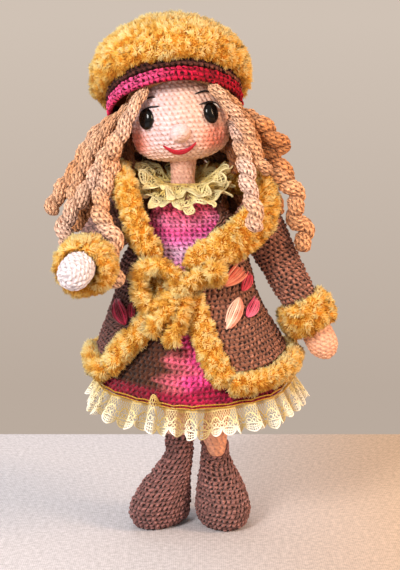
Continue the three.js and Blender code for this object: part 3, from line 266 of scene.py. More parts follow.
class Crochet:
    """A crocheted surface: a grid of places whose rounds lie one stitch row apart, and its stitches.

    surface(turn, share) gives places for arrays of both. Each round is cut into whole stitches, and each
    place moves out along the normal by its stitch's height. Rounds waver a little up and down.
    """

    def __init__(self, surface, start=0.0, end=TAU, closed=True, steps=4, depth=0.6, stitch=STITCH,
                 row=ROUND, seed=0, middle=0.6, waver=0.35):
        probe = surface(np.linspace(start, end, 25)[None, :-1], np.linspace(0, 1, 241)[:, None])
        walk = np.linalg.norm(np.diff(probe, axis=0), axis=-1).mean(axis=1)
        walk = np.concatenate([[0], np.cumsum(walk)])
        self.rounds = max(round(walk[-1] / row), 1)
        shares = np.interp(np.linspace(0, walk[-1], self.rounds * steps + 1), walk, np.linspace(0, 1, 241))
        widest = np.linalg.norm(np.diff(surface(np.linspace(start, end, 181)[None], shares[:, None]),
                                        axis=1), axis=-1).sum(axis=1)
        columns = int(np.ceil(widest.max() / stitch) * steps)
        turns = np.linspace(start, end, columns + 1)
        base = surface(turns[None], shares[:, None])
        length = np.linalg.norm(np.diff(base, axis=1), axis=-1)
        along = np.concatenate([np.zeros((len(base), 1)), np.cumsum(length, axis=1)], axis=1)
        along = along / np.maximum(along[:, -1:], 1e-6)
        level = np.arange(len(shares)) / steps
        self.level = level
        self.round = np.minimum(level.astype(int), self.rounds - 1)
        wide = np.array([length[self.round == k].sum(axis=1).mean() for k in range(self.rounds)])
        self.across = np.maximum(np.round(wide / stitch), 3) if closed else np.maximum(wide / stitch, 1)
        self.offset = 0.5 * np.arange(self.rounds) + 0.35 * chance(np.arange(self.rounds), seed)
        self.along = along
        if closed:
            base = base[:, :-1]
        self.closed, self.steps = closed, steps
        calm = np.minimum(1, np.minimum(level, level[-1] - level) / 2)[:, None, None]
        base = base + unit(np.gradient(base, axis=0)) * (waver * wander(base, 22, seed + 2))[..., None] * calm
        ways = normals(base, closed)
        # Out is away from the middle of each round, whichever way the surface is wound.
        self.normal = ways * np.sign(((base - base.mean(axis=1, keepdims=True)) * ways).sum())
        u = along[:, :base.shape[1]] * self.across[self.round][:, None] + self.offset[self.round][:, None]
        self.stitch = np.floor(u)
        self.shares = shares
        up = np.clip(level - self.round, 0, 1)[:, None]
        self.height = stitch_height(np.mod(u + LEAN * (up - 0.5), 1) - 0.5, up)
        own = chance(self.round[:, None], self.stitch, seed + 1)
        lift = self.height * (0.6 + 0.8 * own) - middle
        self.own = own
        self.base = base
        self.grid = base + self.normal * (lift * depth)[..., None]

    def uv(self):
        """Stitch and round numbers at the corners of each face of the grid, for the material's pattern."""
        rows, across = self.base.shape[:2]
        own = np.minimum(np.arange(rows - 1) // self.steps, self.rounds - 1)
        columns = np.arange(across if self.closed else across - 1)

        def corner(row_step, column_step):
            share = self.along[row_step: rows - 1 + row_step][:, columns + column_step]
            u = share * self.across[own][:, None] + self.offset[own][:, None]
            v = np.broadcast_to(self.level[row_step: rows - 1 + row_step][:, None], u.shape)
            return np.stack([u, v], axis=-1)

        return np.stack([corner(0, 0), corner(0, 1), corner(1, 1), corner(1, 0)], axis=2).reshape(-1, 4, 2)


def stuffed(name, crochet, look, tint):
    """A closed crocheted skin: the grid with a fan of triangles over each end."""
    places, faces = capped(crochet.grid)
    relief = np.concatenate([crochet.height.ravel(), [0.5, 0.5]])
    uvs = [crochet.uv(), np.full((len(faces[1]), 3, 2), 0.5)]
    return add_mesh(name, places, faces, look, uvs, with_ends(tint(crochet)), relief)


def knitted_sheet(name, crochet, wall, look, tint, pole=False):
    """A crocheted sheet with a thickness: its outer face is fine, and its plain inner face is as coarse as
    one face to a stitch. The faces of its rims have one long side and many short ones. With a pole, its first
    round closes over in a fan inside and out."""
    step = crochet.steps
    outer = crochet.grid
    rows, across = outer.shape[:2]
    picked = np.arange(0, across, step)
    if not crochet.closed and picked[-1] != across - 1:
        picked = np.append(picked, across - 1)
    levels = np.arange(0, rows, step)
    inner = (crochet.base - crochet.normal * wall)[levels][:, picked]
    first = rows * across
    low_rows, low_across = inner.shape[:2]
    number = np.arange(first).reshape(rows, across)
    inside = first + np.arange(low_rows * low_across).reshape(low_rows, low_across)
    faces = [grid_faces(rows, across, crochet.closed)]
    uvs = [crochet.uv()]
    back = grid_faces(low_rows, low_across, crochet.closed, first)[:, ::-1]
    faces.append(back)
    uvs.append(np.tile([[[0.0, 0], [0, 1], [1, 1], [1, 0]]], (len(back), 1, 1)))

    def rim(fine, coarse, marks, turned):
        """Joins a fine edge to a coarse one, each coarse side with the fine corners between its marks."""
        groups = {}
        for k in range(len(coarse) - 1):
            ring = list(fine[marks[k]: marks[k + 1] + 1]) + [coarse[k + 1], coarse[k]]
            groups.setdefault(len(ring), []).append(ring[::-1] if turned else ring)
        for rings in groups.values():
            faces.append(np.array(rings))
            uvs.append(np.full((len(rings), len(rings[0]), 2), 0.5))

    places = np.concatenate([outer.reshape(-1, 3), inner.reshape(-1, 3)])
    if pole:
        for line, turned in ((number[0], True), (inside[0], False)):
            second, third = (np.roll(line, -1), line) if turned else (line, np.roll(line, -1))
            fan = np.stack([np.full(len(line), len(places)), second, third], axis=1)
            places = np.concatenate([places, places[line].mean(axis=0)[None]])
            faces.append(fan)
            uvs.append(np.full((len(fan), 3, 2), 0.5))
    if crochet.closed:
        marks = np.append(picked, across)
        for row, turned in ((0, True), (-1, False))[1 if pole else 0:]:
            rim(np.append(number[row], number[row, 0]), np.append(inside[row], inside[row, 0]), marks, turned)
    else:
        for row, turned in ((0, True), (-1, False)):
            rim(number[row], inside[row], picked, turned)
        for column, turned in ((0, False), (-1, True)):
            rim(number[:, column], inside[:, column], levels, turned)
    colours = tint(crochet)
    # The inner face's colours carry painted shade.
    shade = colours[levels][:, picked] * INSIDE_PAINTED_SHADE
    extra = np.tile(colours[0].mean(axis=0), (len(places) - first - low_rows * low_across, 1))
    colours = np.concatenate([colours.reshape(-1, 3), shade.reshape(-1, 3), extra])
    relief = np.concatenate([crochet.height.ravel(), np.full(len(places) - first, 0.6)])
    return add_mesh(name, places, faces, look, uvs, colours, relief)


# Lines, tubes and threads

def smooth_line(points, spacing, closed=False, per=16):
    """Places at an even spacing along a centripetal Catmull-Rom curve, and each one's share of the way."""
    points = np.asarray(points, float)
    if closed:
        points = np.concatenate([points[-1:], points, points[:2]])
    else:
        points = np.concatenate([2 * points[:1] - points[1:2], points, 2 * points[-1:] - points[-2:-1]])
    found = []
    for k in range(len(points) - 3):
        p = points[k: k + 4]
        knots = np.concatenate([[0], np.cumsum(np.sqrt(np.linalg.norm(np.diff(p, axis=0), axis=1)) + 1e-6)])
        t = np.linspace(knots[1], knots[2], per, endpoint=False)[:, None]

        def between(a, b, low, high):
            return (a * (high - t) + b * (t - low)) / (high - low)

        a = [between(p[i], p[i + 1], knots[i], knots[i + 1]) for i in range(3)]
        b = [between(a[i], a[i + 1], knots[i], knots[i + 2]) for i in range(2)]
        found.append(between(b[0], b[1], knots[1], knots[2]))
    found = np.concatenate(found + [points[-2][None]])
    walk = np.concatenate([[0], np.cumsum(np.linalg.norm(np.diff(found, axis=0), axis=1))])
    index = np.linspace(0, 1, len(found))
    count = max(round(walk[-1] / spacing), 3)
    at = np.linspace(0, walk[-1], count + 1)
    line = np.stack([np.interp(at, walk, found[:, k]) for k in range(3)], axis=1)
    share = np.interp(at, walk, index)
    return (line[:-1], share[:-1]) if closed else (line, share)


def frames(line, out=None, closed=False):
    """Along, wide and thin ways at each place of a line. thin leans towards out, or is carried along."""
    if closed:
        along = unit(np.roll(line, -1, 0) - np.roll(line, 1, 0))
    else:
        along = unit(np.gradient(line, axis=0))
    if out is None:
        out = np.zeros_like(line)
        carried = np.array([0.3, -0.8, 0.52])
        for k, way in enumerate(along):
            carried = carried - way * (carried @ way)
            carried /= np.linalg.norm(carried)
            out[k] = carried
    thin = unit(out - along * (out * along).sum(-1, keepdims=True))
    return along, np.cross(along, thin), thin


def round_ends(line, radius, least=0.12):
    """How far a round end has opened at each place, as a share of its radius."""
    walk = np.concatenate([[0], np.cumsum(np.linalg.norm(np.diff(line, axis=0), axis=1))])
    near = np.clip(np.minimum(walk, walk[-1] - walk) / radius, 0, 1)
    return np.maximum(np.sqrt(1 - (1 - near) ** 2), least)


def with_ends(grid):
    """A grid's values in one list, and after them the means of its first and its last row."""
    return np.concatenate([grid.reshape(-1, 3), grid[:1].mean(axis=1), grid[-1:].mean(axis=1)])


def capped(grid, closed_line=False):
    """Places and faces of a grid of rings: four-cornered faces, and a fan over each open end."""
    rows, across = grid.shape[:2]
    faces = grid_faces(rows, across, True)
    k, last = np.arange(across), (rows - 1) * across
    after = (k + 1) % across
    if closed_line:
        seam = np.stack([last + k, last + after, after, k], axis=1)
        return grid.reshape(-1, 3), [np.concatenate([faces, seam])]
    low, high = np.full(across, rows * across), np.full(across, rows * across + 1)
    caps = [np.stack([low, after, k], axis=1), np.stack([high, last + k, last + after], axis=1)]
    return with_ends(grid), [faces, np.concatenate(caps)]


def tube(line, wide, thick, around, out=None, closed=False):
    """Rings of places round a line: an ellipse with its half width and half thickness at each place."""
    _, side, thin = frames(line, out, closed)
    turn = TAU * np.arange(around) / around
    wide, thick = (np.broadcast_to(size, len(line))[:, None, None] for size in (wide, thick))
    round_about = side[:, None] * wide * np.cos(turn)[:, None] + thin[:, None] * thick * np.sin(turn)[:, None]
    return line[:, None] + round_about


def threads(lines, ways_out, wide, thick, sides=4):
    """Many thin threads at once. lines is (threads, places, 3), and ways_out is the way out at each place.

    Each thread is a tube with flat ends, of one width and thickness.
    """
    count, long = lines.shape[:2]
    along = unit(np.gradient(lines, axis=1))
    side = unit(np.cross(along, ways_out))
    thin = np.cross(side, along)
    turn = TAU * (np.arange(sides) + 0.5) / sides
    rings = lines[:, :, None] + side[:, :, None] * (wide / 2 * np.cos(turn))[:, None]
    rings = rings + thin[:, :, None] * (thick / 2 * np.sin(turn))[:, None]
    one = grid_faces(long, sides, True)
    starts = (np.arange(count) * long * sides)[:, None, None]
    skin = (one[None] + starts).reshape(-1, 4)
    lids = np.stack([np.arange(sides)[::-1], (long - 1) * sides + np.arange(sides)])
    lids = (lids[None] + starts).reshape(-1, sides)
    return rings.reshape(-1, 3), [skin, lids]


def gather(parts):
    """Several (places, faces) as one, with the corner numbers moved on."""
    places, faces, first = [], {}, 0
    for found, groups in parts:
        for group in groups:
            faces.setdefault(group.shape[1], []).append(group + first)
        places.append(found)
        first += len(found)
    return np.concatenate(places), [np.concatenate(group) for group in faces.values()]


# Cloth that hangs on the body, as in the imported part

def lean_at(z):
    return follow(LEAN_ROWS, z)[..., 0]


def dress_half(z):
    """Half width and half depth of the body and dress together at a height."""
    body = follow(TORSO_ROWS, np.maximum(z, HEIGHTS["waist"])) + GAP + DRESS["wall"]
    share = np.maximum((HEIGHTS["waist"] - z) / DRESS["length"], 0)
    out = follow(SKIRT_ROWS, share)[..., 0] + np.maximum(share - 1, 0) * 0.9
    return mix(body[..., 0], DRESS["hem_wide"], out), mix(body[..., 1], DRESS["hem_deep"], out)


def cloth_place(turn, z, out):
    """A place on the dress or coat: turn goes round from +X, and out is the distance from the dress."""
    wide, deep = dress_half(z)
    drop = np.clip((HEIGHTS["waist"] - z) / DRESS["length"], 0, 1.2)
    far = out + DRESS["fold"] * drop**2 * np.sin(7 * turn + 0.6)
    return spots(lean_at(z) + (wide + far) * np.cos(turn), (deep + far) * np.sin(turn), z)


def frontness(turn):
    """1 straight ahead of the doll, 0 at its sides and behind it."""
    return np.maximum(-np.sin(turn), 0) ** 1.5


def dress_hem(turn):
    return DRESS["hem"] - DRESS["dip"] * frontness(turn)


def coat_hem(turn):
    return HEIGHTS["waist"] - COAT["length"] - COAT["dip"] * frontness(turn)


def coat_place(turn, z, out):
    drop = np.clip((HEIGHTS["chest"] - z) / (HEIGHTS["chest"] - HEIGHTS["waist"]), 0, 1)
    skirt = np.clip((HEIGHTS["waist"] - z) / COAT["length"], 0, 1.2)
    ease = GAP + mix(COAT["top"], COAT["waist"], drop) + (COAT["hem"] - COAT["waist"]) * skirt + COAT["wall"]
    return cloth_place(turn, z, ease + out)


def cloth_face(places):
    wide, deep = dress_half(places[..., 2])
    x = (places[..., 0] - lean_at(places[..., 2])) / wide**2
    return unit(spots(x, places[..., 1] / deep**2, 0.0))


# Arms, head and hat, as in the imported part

def arm_axis(side):
    tilt = np.radians(SHOULDER["tilt"])
    return np.array([side * np.cos(tilt), 0, np.sin(tilt)])


def arm_pivot(side):
    return np.array([side * SHOULDER["out"], 0, PIVOT_HIGH])


def arm_way(side):
    forward = np.radians(SHOULDER["forward"] if side < 0 else 0)
    tilt, splay = np.radians(SHOULDER["tilt"]), np.radians(SHOULDER["splay"])
    down = np.array([side * np.sin(tilt), 0, -np.cos(tilt)])
    swing = down * np.cos(forward) + np.array([0, -np.sin(forward), 0])
    return arm_axis(side) * np.sin(splay) + swing * np.cos(splay)


def arm_place(side, turn, distance, radius):
    """A place round the arm: distance from the shoulder's pivot along the arm, and radius from its middle."""
    way = arm_way(side)
    wide = unit(np.cross(arm_axis(side), way))
    thin = np.cross(way, wide)
    turn, distance, radius = (np.asarray(value)[..., None] for value in (turn, distance, radius))
    return arm_pivot(side) + way * distance + radius * (wide * np.cos(turn) + thin * np.sin(turn))


def turn_about_y(angle):
    """The matrix that turns by an angle in degrees about +Y."""
    c, s = np.cos(np.radians(angle)), np.sin(np.radians(angle))
    return np.array([[c, 0, s], [0, 1, 0], [-s, 0, c]])


def turn_about_x(angle):
    c, s = np.cos(np.radians(angle)), np.sin(np.radians(angle))
    return np.array([[1, 0, 0], [0, c, -s], [0, s, c]])


HEAD_TURN = turn_about_y(-HEAD["roll"])
HEAD_MIDDLE = np.array([HEAD["aside"], 0, HEAD_HIGH])
HAT_TURN = turn_about_y(-HAT["roll"]) @ turn_about_x(-HAT["tilt"])
HAT_MIDDLE = np.array([HAT["aside"], 0, HEAD_HIGH + HAT["above"]])


def head_local(aside, up, out):
    turn, rise = np.radians(aside), np.radians(up)
    about = np.cos(rise) * (1 - HEAD["jowl"] * np.sin(rise))
    return spots((HEAD["wide"] + out) * about * np.sin(turn), -(HEAD["deep"] + out) * about * np.cos(turn),
                 (HEAD["high"] + out) * np.sin(rise))


def head_place(aside, up, out):
    """A place on the head: aside and up in degrees from the middle of the face, and a distance out."""
    return head_local(aside, up, out) @ HEAD_TURN.T + HEAD_MIDDLE


def hat_place(turn, up, wide, deep, x=0.0):
    """A place round the hat: up along its own axis, with its half width and half depth there. Its lower
    rounds arch up over the forehead."""
    arch = HAT["arch"] * frontness(turn) * (1 - smooth(15, 45, up))
    return spots(x + wide * np.cos(turn), deep * np.sin(turn), up + arch) @ HAT_TURN.T + HAT_MIDDLE


def face_frame(aside, up):
    """The middle of a place on the face, and the ways right, up and straight out from it."""
    place = head_place(aside, up, 0)
    right = unit(head_place(aside + 2, up, 0) - place)
    out = unit(np.cross(right, head_place(aside, up + 2, 0) - place))
    return place, right, np.cross(out, right), out


# Materials

class Nodes:
    """A node tree that is cleared and then filled. An input that is given a socket is linked, any other is
    set."""

    def __init__(self, tree):
        self.tree = tree
        tree.nodes.clear()

    def add(self, kind, inputs=None, **values):
        made = self.tree.nodes.new("ShaderNode" + kind)
        for key, value in values.items():
            setattr(made, key, value)
        for key, value in (inputs or {}).items():
            if isinstance(value, bpy.types.NodeSocket):
                self.tree.links.new(value, made.inputs[key])
            else:
                made.inputs[key].default_value = value
        return made

    def sums(self, operation, *values):
        return self.add("Math", dict(enumerate(values)), operation=operation).outputs[0]

    def attribute(self, name, output):
        return self.add("Attribute", attribute_name=name).outputs[output]

    def noise(self, place, scale, detail, rough=0.5, output="Fac"):
        return self.add("TexNoise", {"Vector": place, "Scale": scale, "Detail": detail,
                                     "Roughness": rough}).outputs[output]

    def ranged(self, value, low, high, start=0.0, end=1.0, kind="LINEAR"):
        return self.add("MapRange", {"Value": value, "From Min": low, "From Max": high, "To Min": start,
                                     "To Max": end}, interpolation_type=kind).outputs[0]

    def split(self, vector):
        return self.add("SeparateXYZ", {0: vector}).outputs

    def scaled(self, shade, factor):
        return self.add("VectorMath", {0: shade, "Scale": factor}, operation="SCALE").outputs[0]

    def finish(self, base, height, bump, reach, **inputs):
        """Bump from a height, the shader with its other inputs, and the output."""
        bumped = self.add("Bump", {"Height": height, "Strength": bump, "Distance": reach})
        shader = self.add("BsdfPrincipled", {
            "Base Color": base, "Normal": bumped.outputs[0],
            **{key.replace("_", " "): value for key, value in inputs.items()}})
        self.add("OutputMaterial", {"Surface": shader.outputs[0]})


def new_look(name):
    """An empty material, its nodes, and a place on the object in metres for its patterns."""
    look = bpy.data.materials.new(name)
    look.use_nodes = True
    nodes = Nodes(look.node_tree)
    return look, nodes, nodes.add("TexCoord").outputs["Object"]


def yarn_look(name, hollow, rough=0.85, sheen=0.1, bump=0.6, fibre=1700.0, wobble=0.26, deep=1.0,
              groove=0.45, streak=0.3, hole_size=0.75, filtered=False):
    """Crocheted yarn: the piece's own tint, with painted shade towards hollow in the holes and grooves
    of its stitches and where their relief is low, and painted highlights along short strokes of yarn.
    The same stitches, the strokes and its loose fibres make its bump. Noise bends the stitches a little.
    A filtered hollow is the tint seen through that colour."""
    look, nodes, place = new_look(name)
    sums, ranged = nodes.sums, nodes.ranged
    tint, relief = nodes.attribute("tint", "Color"), nodes.attribute("relief", "Fac")
    stitch_at = nodes.split(nodes.add("UVMap", uv_map="stitches").outputs[0])
    bends = nodes.split(nodes.noise(place, 380.0, 1.0, output="Color"))

    # Stitches are numbered along a round by shift and from round to round by rise.
    shift = sums("MULTIPLY_ADD", sums("SUBTRACT", bends[0], 0.5), 4 * wobble, stitch_at[0])
    rise = sums("MULTIPLY_ADD", sums("SUBTRACT", bends[1], 0.5), 2.5 * wobble, stitch_at[1])
    up = sums("FRACT", rise)
    leaned = sums("MULTIPLY_ADD", sums("SUBTRACT", up, 0.5), LEAN, shift)
    across = sums("SUBTRACT", sums("FRACT", leaned), 0.5)
    beside = sums("MULTIPLY", sums("ABSOLUTE", across), 2.0)
    edge = sums("ABSOLUTE", sums("MULTIPLY_ADD", up, 2.0, -1.0))
    yarn = sums("MULTIPLY", sums("SUBTRACT", 1.0, sums("POWER", beside, LUMP)),
                sums("SUBTRACT", 1.0, sums("POWER", edge, LUMP)))
    from_side = sums("DIVIDE", sums("SUBTRACT", beside, 1.0), 0.5)
    from_foot = sums("DIVIDE", sums("SUBTRACT", up, 0.3), 0.34)
    off = sums("ADD", sums("MULTIPLY", from_side, from_side), sums("MULTIPLY", from_foot, from_foot))
    # The hole between two stitches has one size for both of them, so it is drawn for the pair.
    pair = nodes.add("CombineXYZ", {0: sums("FLOOR", sums("ADD", shift, 0.5)), 1: sums("FLOOR", rise)})
    own = nodes.add("TexWhiteNoise", {"Vector": pair.outputs[0]}, noise_dimensions="2D")
    strokes = nodes.add("CombineXYZ", {
        0: sums("MULTIPLY_ADD", up, 0.9, sums("MULTIPLY", shift, 2.4)), 1: sums("MULTIPLY", rise, 1.9)})
    stroke = ranged(nodes.noise(strokes.outputs[0], 1.0, 2.0), 0.36, 0.64, kind="SMOOTHSTEP")
    size = sums("MULTIPLY_ADD", own.outputs["Value"], hole_size, hole_size)
    size = sums("MULTIPLY", size, sums("SUBTRACT", 1.45, sums("MULTIPLY", stroke, 0.8)))
    hole = ranged(sums("DIVIDE", off, size), 0.1, 1.2, 1.0, 0.0, "SMOOTHSTEP")
    valley = ranged(yarn, 0.0, 0.5, groove, 0.0, "SMOOTHSTEP")
    height = sums("MULTIPLY_ADD", stroke, 0.5, sums("SUBTRACT", yarn, hole))
    height = sums("MULTIPLY_ADD", nodes.noise(place, fibre, 3.0, 0.65), 0.5, height)
    # Painted shade: darker where the relief is low, and towards hollow in the holes and grooves.
    low = sums("MULTIPLY", sums("SUBTRACT", 1.0, relief), 0.2 * deep)
    shade = sums("MINIMUM", sums("MULTIPLY_ADD", sums("MAXIMUM", valley, hole), 0.9 * deep, low), 1.0)
    dark = (*hollow, 1.0)
    if filtered:
        dark = nodes.add("VectorMath", {0: tint, 1: tuple(hollow)}, operation="MULTIPLY").outputs[0]
    # The colour sockets of this node are reached by number, because its names repeat.
    mixed = nodes.add("Mix", {0: shade, 6: tint, 7: dark}, data_type="RGBA")
    # lit is random flecks of tone times painted highlights along the strokes of yarn.
    flecks = ranged(nodes.noise(place, 300.0, 2.0), 0.3, 0.7, 0.88, 1.12)
    lit = sums("MULTIPLY", flecks, sums("MULTIPLY_ADD", stroke, 2 * streak, 1 - streak))
    nodes.finish(nodes.scaled(mixed.outputs[2], lit), height, bump, 0.0009, Roughness=rough,
                 Sheen_Weight=sheen, Sheen_Roughness=0.5, Specular_IOR_Level=0.25)
    return look


def pile_look(name, rough=0.95, sheen=0.04, fibre=900.0):
    """Fluffy pile or thread: the piece's own tint with fine fibres as bump."""
    look, nodes, place = new_look(name)
    fuzz = nodes.noise(place, fibre, 3.0, 0.7)
    worn = nodes.scaled(nodes.attribute("tint", "Color"), nodes.ranged(fuzz, 0.3, 0.7, 0.86, 1.12))
    nodes.finish(worn, fuzz, 0.35, 0.0004, Roughness=rough, Sheen_Weight=sheen, Sheen_Roughness=0.5,
                 Specular_IOR_Level=0.2)
    return look


def plain_look(name, shade, rough, detail=400.0, change=0.12, bump=0.15, metal=0.0, gloss=0.5,
               stretch=(1, 1, 1)):
    """A solid finish with a grain: noise stretched along one way varies its colour and its bump."""
    look, nodes, place = new_look(name)
    turned = nodes.add("Mapping", {"Vector": place, "Scale": stretch})
    grain = nodes.noise(turned.outputs[0], detail, 4.0)
    ramp = nodes.add("ValToRGB", {"Fac": grain})
    for end, way, at in zip(ramp.color_ramp.elements, (-1, 1), (0.3, 0.7)):
        end.position = at
        end.color = (*np.clip(colour(*shade) * (1 + way * change), 0, 1), 1.0)
    nodes.finish(ramp.outputs[0], grain, bump, 0.0003, Roughness=rough, Metallic=metal,
                 Specular_IOR_Level=gloss)
    return look


# The first colour of each yarn look is the painted shade in its holes and grooves.
LOOKS = dict(
    skin=yarn_look("skin_yarn", colour(198, 142, 122), bump=0.45, deep=0.75, wobble=0.16, streak=0.06,
                   hole_size=0.6, sheen=0.04),
    knob=yarn_look("nose_yarn", colour(222, 178, 164), bump=0.3, deep=0.5, groove=0.3, streak=0.04),
    pale=yarn_look("pale_hand_yarn", colour(176, 158, 166), bump=0.7, deep=0.7, groove=0.6, streak=0.08),
    boots=yarn_look("boot_yarn", colour(44, 20, 14), bump=0.8, groove=0.5, streak=0.34),
    coat=yarn_look("coat_yarn", colour(40, 18, 12), bump=0.8, groove=0.5, streak=0.34),
    dress=yarn_look("dress_yarn", colour(96, 58, 72), bump=0.8, groove=0.36, streak=0.26, deep=0.74,
                    filtered=True),
    band=yarn_look("hat_band_yarn", colour(66, 6, 12), bump=0.9, groove=0.6, streak=0.4, hole_size=0.6,
                   sheen=0.0, wobble=0.34),
    brown=yarn_look("hat_brown_yarn", colour(28, 12, 8), bump=0.8, groove=0.6, streak=0.34, sheen=0.0),
    hair=yarn_look("hair_yarn", colour(124, 62, 28), bump=0.9, groove=0.6, streak=0.24, hole_size=0.5,
                   deep=0.85),
    fluff=pile_look("fluffy_yarn"),
    lace=pile_look("lace_thread", rough=0.75, sheen=0.15, fibre=1500.0),
    silk=pile_look("petal_thread", rough=0.5, sheen=0.2, fibre=1500.0),
    gold=plain_look("gold_thread", (184, 138, 44), 0.45, detail=1800.0, change=0.4, bump=0.4, metal=0.2),
    black=plain_look("eye_gloss", (3, 3, 4), 0.13, detail=60.0, change=0.1, bump=0.0, gloss=0.3),
    black_thread=plain_look("face_stitch_black", (16, 14, 18), 0.6, detail=1500.0, change=0.3, bump=0.3),
    white_thread=plain_look("face_stitch_white", (250, 248, 244), 0.6, detail=1500.0, change=0.08, bump=0.3),
    mouth=plain_look("mouth_thread", (178, 2, 36), 0.6, detail=1300.0, change=0.25, bump=0.5),
    wood=plain_look("dowel_wood", (216, 184, 136), 0.6, detail=300.0, change=0.15, stretch=(1, 1, 0.08)),
    felt=plain_look("insole_felt", (180, 154, 120), 0.95, detail=900.0, change=0.1, bump=0.4),
    washer=plain_look("washer_plastic", (232, 232, 228), 0.35, detail=200.0, change=0.03, bump=0.05),
    cord=plain_look("joint_thread", (220, 205, 185), 0.8, detail=1800.0, change=0.12, bump=0.5),
)

for name, look in dict(
    neck_dowel="wood", right_insole="felt", left_insole="felt", right_shoulder_thread="cord",
    left_shoulder_thread="cord", right_eye_washer="washer", left_eye_washer="washer",
).items():
    node_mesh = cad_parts[name].data
    node_mesh.materials.clear()
    node_mesh.materials.append(LOOKS[look])


def own_tone(crochet, strength=0.07):
    """Each stitch a little lighter or darker than its neighbours."""
    return 1 + 1.6 * strength * (2 * crochet.own - 1)[..., None]


def settle(piece, body, slot, *nodes):
    """Puts a finished piece on its body, with the nodes that it stands for. Its slot is not used."""
    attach(piece, body)
    if nodes:
        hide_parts(*nodes)
    return piece


# Head and face

BLUSH = [(-66, -27), (47, -30)]


def skin_tint_and_light(crochet):
    """Pale skin with painted light: cool to the doll's right, where the key light falls, warm to its left
    and low on the face, with a streaked blush on both cheeks.
    """
    local = (crochet.base - HEAD_MIDDLE) @ HEAD_TURN
    # Painted light: cool on the doll's right and warm on its left.
    warm = smooth(-14, 18, local[..., 0] + 0.25 * local[..., 2])[..., None]
    tint = mix(colour(230, 206, 208), colour(234, 194, 173), warm)
    # Painted warm light low on the face.
    tint = mix(tint, colour(240, 198, 164), smooth(-14, -29, local[..., 2])[..., None] * 0.75)
    for aside, up in BLUSH:
        middle = head_local(np.float64(aside), np.float64(up), 0)
        far = np.linalg.norm((local - middle) * np.array([1, 0.8, 1.15]), axis=-1)
        streak = 0.7 + 0.3 * chance(crochet.round, 5)[:, None]
        tint = mix(tint, colour(246, 132, 100), (smooth(14, 3, far) * 0.9 * streak)[..., None])
    return tint * own_tone(crochet, 0.05)


def cheeked_head(turn, share):
    """The head with fuller lower cheeks and a flatter chin: x grows by up to 12 % around 22 mm below the
    middle, and the lowest 6 mm rise by up to 1.5 mm."""
    local = head_local(np.degrees(turn), mix(-88, 88, share), 0)
    low = local[..., 2].copy()
    local[..., 0] *= 1 + 0.12 * np.exp(-((low + 22) / 8) ** 2)
    local[..., 2] += 1.5 * smooth(-25, -31, low)
    return local @ HEAD_TURN.T + HEAD_MIDDLE


head_skin = Crochet(cheeked_head, steps=5, depth=0.75, middle=0.75, seed=1)
head = settle(stuffed("crocheted_head", head_skin, LOOKS["skin"], skin_tint_and_light), "head", "skin_yarn", "head")


def bump_on_face(aside, up, wide, high, out, sink):
    """A half egg on the face: a grid of turns and shares from its sunk edge to its tip."""
    place, right, above, ahead = face_frame(aside, up)

    def surface(turn, share):
        rise = mix(-0.9, 1.56, share)
        flat = np.cos(rise) * (1 + 0 * turn)
        sideways, upwards = wide * flat * np.cos(turn), high * flat * np.sin(turn)
        forwards = np.where(rise < 0, sink, out) * np.sin(rise) + 0 * turn
        local = right * sideways[..., None] + above * upwards[..., None] + ahead * forwards[..., None]
        return place + local

    return surface


nose_skin = Crochet(bump_on_face(0, -21, 6.3, 5.8, 4.9, 3), depth=0.3, stitch=2.9, row=2.3, seed=2)
# Painted light and shade on the nose: pale towards the doll's right and top, tan towards its left and below.
nose = stuffed("crocheted_nose", nose_skin, LOOKS["knob"], lambda crochet: mix(
    colour(220, 196, 197), colour(206, 164, 138),
    smooth(-2, 5, (crochet.base - head_place(0.0, -21.0, 0)) @ np.array([0.55, 0, -0.8]))[..., None],
) * own_tone(crochet, 0.03))
settle(nose, "head", "skin_yarn", "nose")

# Radius and height of the eye from its stem to its tip. It is narrower across than it is high.
EYE_PROFILE = [
    [1.6, -1.6], [5.4, -1.5], [5.9, -0.6], [6.35, 0.2], [6.5, 0.95], [6.3, 1.7], [5.7, 2.45], [4.7, 3.1],
    [3.4, 3.55], [1.8, 3.82], [0, 3.9],
]
EYE_NARROW = 5 / 6.5
STEM_RADIUS, STEM_LONG = 1.6, 9
for side, side_name in ((-1, "right"), (1, "left")):
    place, right, above, ahead = face_frame(side * 39.0, -1.7)
    profile, _ = smooth_line([[r, h, 0] for r, h in EYE_PROFILE], 0.25)
    stem = [[0.05, -STEM_LONG, 0], [STEM_RADIUS, -STEM_LONG, 0]]
    profile = np.concatenate([stem, profile[:-1], [[0.04, EYE_PROFILE[-1][1], 0]]])
    turn = TAU * np.arange(48) / 48
    radius, height = profile[:, 0][:, None, None], profile[:, 1][:, None, None]
    ways = right * (np.cos(turn) * EYE_NARROW)[:, None] + above * np.sin(turn)[:, None]
    rings = place + radius * ways + ahead * height
    places, faces = capped(rings)
    eye = add_mesh(f"{side_name}_glossy_eye", places, faces, LOOKS["black"])
    settle(eye, "head", "eye_black", f"{side_name}_eye")


def face_thread(points, radius, out=0.35, taper=0.35):
    """A stitch of thread on the face through places in degrees aside and up, thinner at both ends."""
    line, _ = smooth_line([head_place(a, b, out) for a, b in points], 0.5)
    share = np.linspace(0, 1, len(line))
    size = radius * mix(taper, 1, np.sin(np.pi * np.clip(share, 0, 1)) ** 0.5)
    return capped(tube(line, size, size, 8))


